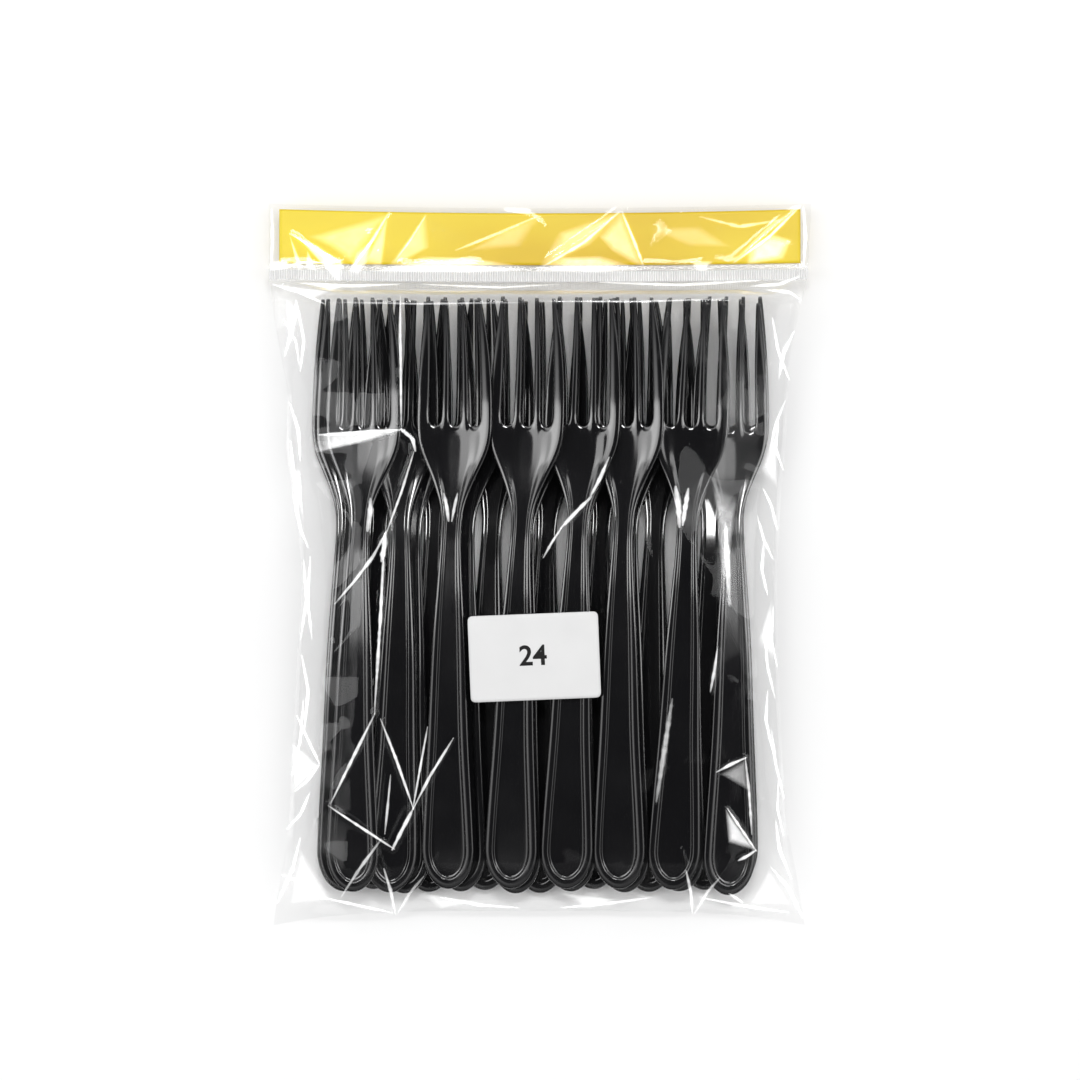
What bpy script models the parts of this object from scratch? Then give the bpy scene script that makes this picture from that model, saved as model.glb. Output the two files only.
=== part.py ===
"""A clear film pack of disposable forks, lying on its back.

Twenty-four moulded forks lie head to head in a film bag. The bag has a header that holds a
coloured strip, a crimped seal under it, welded sides, and a flap folded round to the back.
A paper label is stuck on the front.

Design values are in millimetres, and become metres as each mesh is made. X runs across the
pack, Y up it towards the header, and Z up from the surface that it lies on.
"""

import math

import bmesh
import bpy
import numpy as np
from mathutils import Matrix, Vector
from mathutils.bvhtree import BVHTree

MM = 0.001

# Fork, measured along its length from the end of the handle to the tips of the tines
FORK_LENGTH = 178.0
HEAD_WIDTH = 22.6
NECK_WIDTH = 6.0
GRIP_WIDTH = 15.8
NECK_AT = 107.0
END_LENGTH = 12.0
TINE_LENGTH = 39.0
TINE_WIDTH = 2.0
TINE_TIP_WIDTH = 1.1
SLOT_WIDTH = 4.0
TIP_SPREAD = 16.4
FORK_WALL = 1.2
RIM_WIDTH = 2.2
END_RIM_WIDTH = 3.0
PANEL_DROP = 0.9
STEP_RUN = 0.6
DISH_DEPTH = 1.1

# Side view of the fork: the height of its rim line and its slope, at places along its length
ARCH_HEIGHT = 5.0
TIP_HEIGHT = 5.0

# Film, strip and label
FILM = 0.1
WELD = 1.2
BAG_WIDTH = 163.2
SEAL_HEIGHT = 4.0
HEADER_HEIGHT = 19.4
# Length of the bag below its seal that the forks don't need
SPARE_LENGTH = 16.2
BAG_LENGTH = FORK_LENGTH + SPARE_LENGTH + SEAL_HEIGHT + HEADER_HEIGHT
FLAP_LENGTH = 30.0
MOUTH = 1.0
STRIP_WALL = 0.3
STRIP_MARGIN = 3.2
STRIP_TOP_MARGIN = 1.6
TAPE_WALL = 0.1
TAPE_HEIGHT = 12.0
TAPE_MARGIN = 2.0
LABEL_WIDTH = 39.0
LABEL_HEIGHT = 25.8
LABEL_CORNER = 1.4
LABEL_WALL = 0.12
LABEL_AT = (-1.7, -27.3)
LABEL_TURN = 2.3

# Touching pieces keep this gap
GAP = 0.3
# Two layers of film that are welded keep this much between their inner faces in the mesh
FUSED = 0.02
# Height of the flap's inside below the back wall, with the tape between them
FLAP_STACK = TAPE_WALL + 2 * GAP
# Spacing of the points at which surfaces are felt, and how far off their rays start
FEEL = 1.6
FAR = 500.0

# Each fork in the order it is laid: the place across the pack of its end and of its head,
# and how far its end lies up the pack from the common line
LAID = (
    (49.6, 52.0, 0.0),
    (32.4, 35.6, -0.6),
    (15.8, 19.4, 0.3),
    (-0.4, 3.0, -0.9),
    (-17.0, -13.4, 0.0),
    (-33.8, -31.0, -0.6),
    (-50.4, -48.0, 0.3),
    (-59.4, -57.6, -0.3),
    (57.8, 58.0, 0.6),
    (41.4, 45.6, -0.3),
    (25.0, 27.2, -0.6),
    (8.8, 13.2, -0.3),
    (-7.8, -3.2, -0.9),
    (-24.2, -21.8, -0.3),
    (-41.0, -37.6, -0.9),
    (-59.2, -56.2, -0.3),
    (57.0, 57.2, -1.5),
    (39.8, 45.2, 0.0),
    (23.4, 25.6, 0.3),
    (7.5, 12.6, 0.3),
    (-9.2, -4.2, 0.3),
    (-45.0, -41.4, -0.6),
    (-27.9, -25.8, 0.3),
    (-56.6, -53.0, -0.3),
)
# Distance of the forks' ends from the foot of the bag
FOOT_MARGIN = 11.0
END_LINE = FOOT_MARGIN - BAG_LENGTH / 2

# Places down each side of the bag: the share of half its length up the pack, from -1 at its
# foot to 1 at its top, and the distance across the pack from the middle
LEFT_EDGE = (
    (-1.0, -80.4), (-0.855, -77.8), (-0.735, -75.6), (-0.515, -74.4), (-0.257, -73.0),
    (-0.046, -71.5), (0.138, -73.0), (0.312, -76.4), (0.478, -75.8), (0.662, -79.6),
    (0.8, -81.5), (1.0, -81.6),
)
RIGHT_EDGE = (
    (-1.0, 79.8), (-0.855, 77.0), (-0.699, 73.8), (-0.515, 72.8), (-0.257, 71.6),
    (-0.046, 71.2), (0.184, 72.4), (0.368, 74.2), (0.57, 75.0), (0.699, 77.8), (0.8, 80.4),
    (1.0, 81.6),
)
BOTTOM_ARCH = 4.8
TOP_SAG = 1.4
SEAL_LIFT = 8.0
SIDE_LIFT = 5.0
FOLD_LIFT = 1.6
HEADER_DROOP = 1.6
BED_RAMP = 8.0
# Neighbours and the film keep a fork from tilting further than this, in degrees
ROLL_LIMIT = 9.0
PITCH_LIMIT = 6.0
SETTLING = 4
SEARCH_STEPS = 16

# Runs over which the back wall rises to the side seams, the seal and the fold
SIDE_STEP = 1.6
SIDE_RUN = 5.0
TOP_RUN = 13.0
FOOT_RUN = 12.0
EASE = 0.1
TAUT_STEPS = 1500
PRESS_STEPS = 80
STRIP_FOOT_MARGIN = 1.4
# Room beyond the tips of the tines and the ends of the handles where the film turns down
END_ROOM = 1.2
LABEL_CELLS = (6, 4)

DOWN = Vector((0.0, 0.0, -1.0))
UP = Vector((0.0, 0.0, 1.0))


def flap_end():
    return BOTTOM_ARCH - BAG_LENGTH / 2 + FLAP_LENGTH


def clear_scene():
    for obj in list(bpy.data.objects):
        bpy.data.objects.remove(obj, do_unlink=True)


def smooth(t):
    t = min(max(t, 0.0), 1.0)
    return t * t * (3 - 2 * t)


def curve_through(knots):
    """A smooth function through (place, value) knots; a third number fixes the slope there."""
    at = [k[0] for k in knots]
    value = [k[1] for k in knots]
    chords = [(value[i + 1] - value[i]) / (at[i + 1] - at[i]) for i in range(len(at) - 1)]
    slope = []
    for i, knot in enumerate(knots):
        near = chords[max(i - 1, 0):i + 1]
        turning = len(near) == 2 and near[0] * near[1] <= 0
        slope.append(knot[2] if len(knot) > 2 else 0.0 if turning else sum(near) / len(near))

    def curve(y):
        y = min(max(y, at[0]), at[-1])
        i = min(max(int(np.searchsorted(at, y)) - 1, 0), len(at) - 2)
        span = at[i + 1] - at[i]
        t = (y - at[i]) / span
        return (
            value[i] * (1 + 2 * t) * (1 - t) ** 2
            + value[i + 1] * t * t * (3 - 2 * t)
            + slope[i] * span * t * (1 - t) ** 2
            - slope[i + 1] * span * t * t * (1 - t)
        )

    return curve


# Fork

ROOT_AT = FORK_LENGTH - TINE_LENGTH
SLOT_SHOULDER_AT = ROOT_AT + SLOT_WIDTH / 2
HALF_GRIP = GRIP_WIDTH / 2
HALF_NECK = NECK_WIDTH / 2
HALF_HEAD = HEAD_WIDTH / 2
SHOULDER = SLOT_SHOULDER_AT - NECK_AT

half_width = curve_through((
    (END_LENGTH, HALF_GRIP, -0.03),
    (0.42 * NECK_AT, 0.79 * HALF_GRIP),
    (0.7 * NECK_AT, 0.63 * HALF_GRIP),
    (NECK_AT - 11, HALF_NECK + 0.6),
    (NECK_AT, HALF_NECK, 0.0),
    (NECK_AT + 0.24 * SHOULDER, HALF_NECK + 0.07 * (HALF_HEAD - HALF_NECK)),
    (NECK_AT + 0.47 * SHOULDER, HALF_NECK + 0.4 * (HALF_HEAD - HALF_NECK)),
    (NECK_AT + 0.76 * SHOULDER, HALF_NECK + 0.91 * (HALF_HEAD - HALF_NECK)),
    (SLOT_SHOULDER_AT, HALF_HEAD, 0.0),
))

rim_height = curve_through((
    (0.0, 0.0, 0.13),
    (0.44 * FORK_LENGTH, ARCH_HEIGHT, 0.0),
    (NECK_AT - 4, ARCH_HEIGHT - 0.7),
    (NECK_AT + 9, ARCH_HEIGHT - 3.0),
    (ROOT_AT - 9, 0.5),
    (ROOT_AT + 7, 0.0, 0.0),
    (FORK_LENGTH, TIP_HEIGHT, 0.32),
))

# Eight lines run the length of the fork. Along the handle they are the outline, the inside
# of the rim and the edge of the sunk panel, and the middle pair isn't needed. In the head
# they are the sides of the four tines.
SLOTS = (1, 3, 5)
LAST_LINE = SLOTS[-1] + 2
HANDLE_ROWS = (14.0, 0.4 * NECK_AT, 0.75 * NECK_AT, NECK_AT - 4)
HEAD_ROWS = (NECK_AT + 7, ROOT_AT - 19, ROOT_AT - 11)
TINE_SHARES = (0.42, 0.78, 1.0)


def mirrored(row):
    """Adds the other half of a row, whose lines 0 to 3 are given as x, y and z."""
    full = dict(row)
    for line, (x, y, z) in row.items():
        full[line] = (-x, y, z)
        full[LAST_LINE - line] = (x, y, z)
    return full


def dish(x):
    return -DISH_DEPTH * (1 - (x / HALF_HEAD) ** 2)


def lengthwise_row(y):
    """A row across the handle or the palm."""
    half = half_width(y)
    rim = min(RIM_WIDTH, 0.36 * half)
    step = min(STEP_RUN, 0.12 * half)
    handle = (half, half - rim, half - rim - step, 0.4 * (half - rim - step))
    root = (HALF_HEAD, 1.5 * SLOT_WIDTH + TINE_WIDTH, SLOT_WIDTH / 2 + TINE_WIDTH, SLOT_WIDTH / 2)
    share = smooth((y - NECK_AT - 2) / (SLOT_SHOULDER_AT - NECK_AT - 2))
    drops = (0.0, 0.0, PANEL_DROP, PANEL_DROP)
    row = {}
    for line in range(4):
        x = half * ((1 - share) * handle[line] / half + share * root[line] / HALF_HEAD)
        z = rim_height(y) - (1 - share) * drops[line] + share * dish(x)
        row[line] = (x, y, z)
    if y < NECK_AT:
        del row[3]
    return mirrored(row)


def end_rows():
    """The rows that go round the rounded end of the handle."""
    outer = (HALF_GRIP, END_LENGTH)
    inside = (HALF_GRIP - RIM_WIDTH, END_LENGTH - END_RIM_WIDTH)
    panel = (inside[0] - STEP_RUN, inside[1] - STEP_RUN)
    plans = (
        (((outer, 56), (outer, 38), (outer, 18)), (0, 0, 0)),
        (((outer, 70), (inside, 48), (inside, 17)), (0, 0, 0)),
        (((outer, 83), (inside, 73), (panel, 24)), (0, 0, PANEL_DROP)),
    )
    rows = []
    for places, drops in plans:
        row = {}
        for line, (((across, along), degrees), drop) in enumerate(zip(places, drops)):
            turn = math.radians(degrees)
            y = END_LENGTH - along * math.cos(turn)
            row[line] = (across * math.sin(turn), y, rim_height(y) - drop)
        rows.append(mirrored(row))
    return rows


def tine_row(share):
    """The sides of the tines, a share of the way from the slots' shoulders to the tips."""
    y = SLOT_SHOULDER_AT + share * (FORK_LENGTH - SLOT_SHOULDER_AT)
    width = TINE_WIDTH + (TINE_TIP_WIDTH - TINE_WIDTH) * share ** 3
    pitch = (TIP_SPREAD - TINE_TIP_WIDTH) / 3
    root = (SLOT_WIDTH + TINE_WIDTH) / 2
    inner = root + (pitch / 2 - root) * share
    outer_root = 3 * root - TINE_WIDTH / 2
    outer_tip = 1.5 * pitch - TINE_TIP_WIDTH / 2
    outer_inside = outer_root + (outer_tip - outer_root) * share
    outer_edge = HALF_HEAD + (outer_tip + TINE_TIP_WIDTH - HALF_HEAD) * share ** 2.2
    offsets = (outer_edge, outer_inside, inner + width / 2, inner - width / 2)
    z = rim_height(y)
    return mirrored({
        line: (x, y, z + (1 - share) * dish(x)) for line, x in enumerate(offsets)
    })


def shoulder_row():
    """The row where the slots begin, with the points of each slot's rounded root added."""
    row = lengthwise_row(SLOT_SHOULDER_AT)
    for slot in SLOTS:
        a, b = row[slot], row[slot + 1]
        for share in (0.24, 0.76):
            x = a[0] + share * (b[0] - a[0])
            row[slot + share] = (x, ROOT_AT, rim_height(ROOT_AT) + dish(x))
    return row


def fork_mesh():
    """One fork, face up with the end of its handle at the origin."""
    rows = end_rows()
    rows += [lengthwise_row(y) for y in HANDLE_ROWS + HEAD_ROWS]
    rows.append(shoulder_row())
    shoulder = len(rows) - 1
    rows += [tine_row(share) for share in TINE_SHARES]
    bm = bmesh.new()
    grid = [{line: bm.verts.new(Vector(at)) for line, at in row.items()} for row in rows]
    for i, (lower, upper) in enumerate(zip(grid, grid[1:])):
        shared = sorted(set(lower) & set(upper))
        for a, b in zip(shared, shared[1:]):
            if i >= shoulder and a in SLOTS:
                continue
            near = [lower[k] for k in sorted(lower) if a <= k <= b]
            far = [upper[k] for k in sorted(upper, reverse=True) if a <= k <= b]
            if i >= shoulder:
                near = [lower[a], lower[b]]
            bm.faces.new(near + far)
    made = bmesh.ops.extrude_face_region(bm, geom=list(bm.faces))["geom"]
    lowered = [g for g in made if isinstance(g, bmesh.types.BMVert)]
    bmesh.ops.translate(bm, verts=lowered, vec=(0, 0, -FORK_WALL))
    bmesh.ops.recalc_face_normals(bm, faces=bm.faces)
    bmesh.ops.triangulate(bm, faces=bm.faces)
    return bm


# Laying the forks down one by one

def points_of(bm, upward):
    """Points spread over the upper or the lower faces, and along all their edges."""
    found = []
    for face in bm.faces:
        if (face.normal.z > 0.1) == upward and abs(face.normal.z) > 0.1:
            found.append(face.calc_center_median())
            for a, b in ((e.verts[0].co, e.verts[1].co) for e in face.edges):
                count = max(int((b - a).length / FEEL), 1)
                found += [a.lerp(b, (i + 0.5) / count) for i in range(count)]
    found += [v.co.copy() for v in bm.verts if v.is_valid and (v.normal.z > 0) == upward]
    unique = {(round(p.x, 2), round(p.y, 2)): p for p in found}
    return list(unique.values())


def tree_of(bm, place):
    bm.verts.index_update()
    points = [place @ v.co for v in bm.verts]
    return BVHTree.FromPolygons(points, [[v.index for v in f.verts] for f in bm.faces])


def bed_height(y):
    """Height of the inside of the back wall under the forks: it lies over the flap below."""
    end = flap_end()
    share = smooth((y - end - 1) / BED_RAMP)
    return (1 - share) * (FLAP_STACK + 2 * FILM) + share * FILM


def resting_height(points, pile):
    """How much each feeling point must rise to clear the bed and the pile."""
    found = []
    for p in points:
        under = bed_height(p.y)
        for tree in pile:
            hit = tree.ray_cast(Vector((p.x, p.y, FAR)), DOWN)[0]
            if hit is not None:
                under = max(under, hit.z)
        found.append((p.x, p.y, under + GAP - p.z))
    return found


def risen_over(tops, tree):
    """How much a fork must rise to clear the points on top of the pile."""
    found = []
    for p in tops:
        hit = tree.ray_cast(Vector((p.x, p.y, -FAR)), UP)[0]
        if hit is not None:
            found.append((p.x, p.y, p.z + GAP - hit.z))
    return found


def lowest(height_at, low, high):
    """The place between low and high where a convex function is least, and its value there."""
    for step in range(SEARCH_STEPS):
        third = (high - low) / 3
        if height_at(low + third)[0] < height_at(high - third)[0]:
            high -= third
        else:
            low += third
    middle = (low + high) / 2
    return middle, height_at(middle)


def support(needs, centre, roll, pitch):
    """How a fork comes to rest on its needs: the rise of its centre of weight, and its tilt."""
    points = np.array(needs)
    x, y, z = points[:, 0] - centre.x, points[:, 1] - centre.y, points[:, 2]
    most_roll, most_pitch = math.radians(ROLL_LIMIT), math.radians(PITCH_LIMIT)

    def with_roll(slope_x):
        leaning = z - slope_x * x

        def with_pitch(slope_y):
            return ((leaning - slope_y * y).max(),)

        slope_y, (rise,) = lowest(with_pitch, -most_pitch - pitch, most_pitch - pitch)
        return rise, slope_y

    slope_x, (rise, slope_y) = lowest(with_roll, roll - most_roll, roll + most_roll)
    return rise, roll - slope_x, pitch + slope_y


def lay_forks(bm):
    """The place of every fork, each let down on those before it."""
    under = points_of(bm, False)
    over = points_of(bm, True)
    middle = sum((v.co for v in bm.verts), Vector()) / len(bm.verts)
    places, pile, tops = [], [], []
    for end_x, head_x, along in LAID:
        turn = Matrix.Rotation(math.atan2(end_x - head_x, 0.8 * FORK_LENGTH), 4, "Z")
        centre = Matrix.Translation((end_x, END_LINE + along, 40.0)) @ turn @ middle
        pitch = roll = 0.0
        for attempt in range(SETTLING):
            tilt = Matrix.Rotation(pitch, 4, "X") @ Matrix.Rotation(roll, 4, "Y")
            place = Matrix.Translation(centre) @ turn @ tilt @ Matrix.Translation(-middle)
            corners = [(place @ v.co).x for v in bm.verts]
            near = [p for p in tops if min(corners) <= p.x <= max(corners)]
            needs = resting_height([place @ p for p in under], pile)
            needs += risen_over(near, tree_of(bm, place))
            if attempt == SETTLING - 1:
                place = Matrix.Translation((0, 0, max(n[2] for n in needs))) @ place
                break
            rise, roll, pitch = support(needs, centre, roll, pitch)
            centre.z += rise
        places.append(place)
        pile.append(tree_of(bm, place))
        tops += [place @ p for p in over]
    return places, tops


# Film bag

# Columns of points run up the bag: the two outer edges, the inner edges of the side welds, two
# columns up the sides inside each weld, and the rest at even distances
COLUMNS = 18
LAST = COLUMNS - 1
POCKET = range(1, LAST)
HALF_LENGTH = BAG_LENGTH / 2
SEAL_TOP = HALF_LENGTH - HEADER_HEIGHT
SEAL_BOTTOM = SEAL_TOP - SEAL_HEIGHT
BODY_ROWS = 18
HEADER_LEVELS = (HALF_LENGTH, (HALF_LENGTH + SEAL_TOP) / 2, SEAL_TOP + 1.0, SEAL_TOP)
SKIN = FILM + FUSED / 2
STRIP_ROOM = STRIP_WALL / 2 + GAP


def edge_at(table, y):
    shares, places = zip(*table)
    return float(np.interp(y / HALF_LENGTH, shares, places))


def across(y, column):
    """Place across the bag of one column, at one distance up the bag."""
    left, right = edge_at(LEFT_EDGE, y), edge_at(RIGHT_EDGE, y)
    steps = (0.0, WELD, WELD + SIDE_STEP, WELD + SIDE_RUN)
    if column < 4:
        return left + steps[column]
    if column > LAST - 4:
        return right - steps[LAST - column]
    share = (column - 3) / (LAST - 6)
    return left + steps[3] + share * (right - left - 2 * steps[3])


def bowed(x, y):
    """Moves a point of a straight row to where the bag's ends and its seal bow."""
    u = x / (BAG_WIDTH / 2)
    low = max(0.0, 1 - (y + HALF_LENGTH) / 60)
    high = max(0.0, (y - SEAL_BOTTOM + 12) / (HALF_LENGTH - SEAL_BOTTOM + 12))
    return y + BOTTOM_ARCH * low * (1 - u ** 4) - TOP_SAG * high * (1 - u * u)


def seam_height(y):
    """Height of the middle of the film's thickness at its welds, its seal and its header."""
    if y >= SEAL_BOTTOM:
        return SEAL_LIFT - HEADER_DROOP * (y - SEAL_BOTTOM) / (HALF_LENGTH - SEAL_BOTTOM)
    up = smooth((y + HALF_LENGTH) / 26)
    far = smooth((y - SEAL_BOTTOM + 45) / 45)
    return FOLD_LIFT + (SIDE_LIFT - FOLD_LIFT) * up + (SEAL_LIFT - SIDE_LIFT) * far


def body_levels():
    """Rows from the seal to the end of the back wall, one of them just beyond the flap."""
    foot = MOUTH - HALF_LENGTH
    turns = [math.pi * (0.12 + 0.76 * i / (BODY_ROWS - 1)) for i in range(BODY_ROWS)]
    shares = [(math.cos(turns[0]) - math.cos(t)) / (2 * math.cos(turns[0])) for t in turns]
    levels = [SEAL_BOTTOM - (SEAL_BOTTOM - foot) * share for share in shares]
    beyond = flap_end() + 1
    nearest = min(range(BODY_ROWS), key=lambda i: abs(levels[i] - beyond))
    levels[nearest] = beyond
    levels[1] = END_LINE + FORK_LENGTH + END_ROOM
    levels[-2] = (END_LINE - END_ROOM + levels[-1] - BOTTOM_ARCH) / 2
    return levels


def back_height(x, y):
    """Height of the outside of the back wall, which rises to the seams round the forks."""
    weld = across(y, 1) if x < 0 else across(y, LAST - 1)
    out = (abs(x) - abs(weld) + SIDE_RUN) / SIDE_RUN
    top = (y - SEAL_BOTTOM + TOP_RUN) / TOP_RUN
    low = (FOOT_RUN - HALF_LENGTH - y) / (FOOT_RUN - MOUTH)
    share = min(max(out, top, low, 0.0), 1.0) ** 1.6
    flat = bed_height(y) - FILM
    return flat + share * (max(seam_height(y) - SKIN, flat) - flat)


def grid_of(levels, columns, height):
    """Points of a sheet, keyed by row and column."""
    points = {}
    for row, y in enumerate(levels):
        for column in columns:
            x = across(y, column)
            points[row, column] = Vector((x, bowed(x, y), height(x, y, column)))
    return points


def split_cell(row, column):
    """The two triangles of one cell of a grid."""
    a, b = (row, column), (row, column + 1)
    c, d = (row + 1, column), (row + 1, column + 1)
    if (row + column) % 2:
        return [(a, c, d), (a, d, b)]
    return [(a, c, b), (b, c, d)]


def highest_points(points):
    """The highest of the points over each square millimetre, with a gap kept around them."""
    bins = {}
    for p in points:
        for shift in ((GAP, 0, 0), (-GAP, 0, 0), (0, GAP, 0), (0, -GAP, 0), (0, 0, GAP)):
            q = p + Vector(shift)
            key = (round(q.x), round(q.y))
            if key not in bins or bins[key].z < q.z:
                bins[key] = q
    return list(bins.values())


def drape(levels, pile_points):
    """The inside of the front wall: a taut skin let down on the pile from its held edges."""
    points = grid_of(levels, POCKET, lambda x, y, column: seam_height(y) + FUSED / 2)
    keys = list(points)
    number = {key: i for i, key in enumerate(keys)}
    last = len(levels) - 1
    held = np.array([r in (0, last) or c in (1, LAST - 1) for r, c in keys])
    triangles = [
        tuple(number[key] for key in triangle)
        for r in range(last) for c in range(1, LAST - 1) for triangle in split_cell(r, c)
    ]
    flat = [Vector((p.x, p.y, 0.0)) for p in points.values()]
    tree = BVHTree.FromPolygons(flat, triangles)
    shares, corners, needs = [], [], []
    for p in highest_points(pile_points):
        index = tree.ray_cast(Vector((p.x, p.y, FAR)), DOWN)[2]
        if index is None:
            continue
        triangle = triangles[index]
        plan = np.array([[flat[i].x for i in triangle], [flat[i].y for i in triangle], [1] * 3])
        shares.append(np.linalg.solve(plan, (p.x, p.y, 1)))
        corners.append(triangle)
        needs.append(p.z)
    shares, corners, needs = np.array(shares), np.array(corners), np.array(needs)
    lifting = shares ** 4 / (shares ** 5).sum(axis=1)[:, None]
    height = np.array([p.z for p in points.values()])
    height[~held] = needs.max()
    near = np.arange(len(keys))[:, None].repeat(4, axis=1)
    pull = np.zeros((len(keys), 4))
    for i, (r, c) in enumerate(keys):
        if not held[i]:
            ring = [(r - 1, c), (r + 1, c), (r, c - 1), (r, c + 1)]
            near[i] = [number[key] for key in ring]
            pull[i] = [1 / (points[key].xy - points[r, c].xy).length for key in ring]
            pull[i] /= pull[i].sum()
    for step in range(TAUT_STEPS + PRESS_STEPS):
        if step < TAUT_STEPS:
            eased = height + EASE * ((pull * height[near]).sum(axis=1) - height)
            height = np.where(held, height, eased)
        short = needs - (shares * height[corners]).sum(axis=1)
        rise = np.zeros(len(keys))
        for side in range(3):
            np.maximum.at(rise, corners[:, side], lifting[:, side] * np.maximum(short, 0))
        height = np.where(held, height, height + rise)
    for key, z in zip(keys, height):
        points[key].z = float(z)
    return points


def outside_of(points, levels):
    """The outer side of the front wall, a film's thickness out from its inner side."""
    outer = {}
    last = len(levels) - 1
    for (row, column), p in points.items():
        if row in (0, last) or column in (1, LAST - 1):
            outer[row, column] = p + FILM * UP
            continue
        along = points[row - 1, column] - points[row + 1, column]
        over = points[row, column + 1] - points[row, column - 1]
        outer[row, column] = p + FILM * over.cross(along).normalized()
    for row, y in enumerate(levels):
        for column in (0, LAST):
            x = across(y, column)
            outer[row, column] = Vector((x, bowed(x, y), seam_height(y) + SKIN))
    return outer


class Sheets:
    """Builds a closed mesh out of sheets of points and the strips between their edges."""

    def __init__(self):
        self.bm = bmesh.new()

    def add(self, points):
        return {key: self.bm.verts.new(p) for key, p in points.items()}

    def face(self, *verts):
        self.bm.faces.new(verts)

    def cells(self, sheet, rows, columns):
        for row in rows:
            for column in columns:
                for triangle in split_cell(row, column):
                    self.face(*(sheet[key] for key in triangle))

    def strip(self, a, row_a, b, row_b, columns):
        """Joins a row of one sheet to a row of another."""
        for c in columns:
            self.face(a[row_a, c], a[row_a, c + 1], b[row_b, c + 1], b[row_b, c])

    def side(self, a, b, column, rows):
        """Joins a column of one sheet to the same column of another."""
        for r in rows:
            self.face(a[r, column], a[r + 1, column], b[r + 1, column], b[r, column])

    def finish(self):
        bmesh.ops.recalc_face_normals(self.bm, faces=self.bm.faces)
        return self.bm


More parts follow.
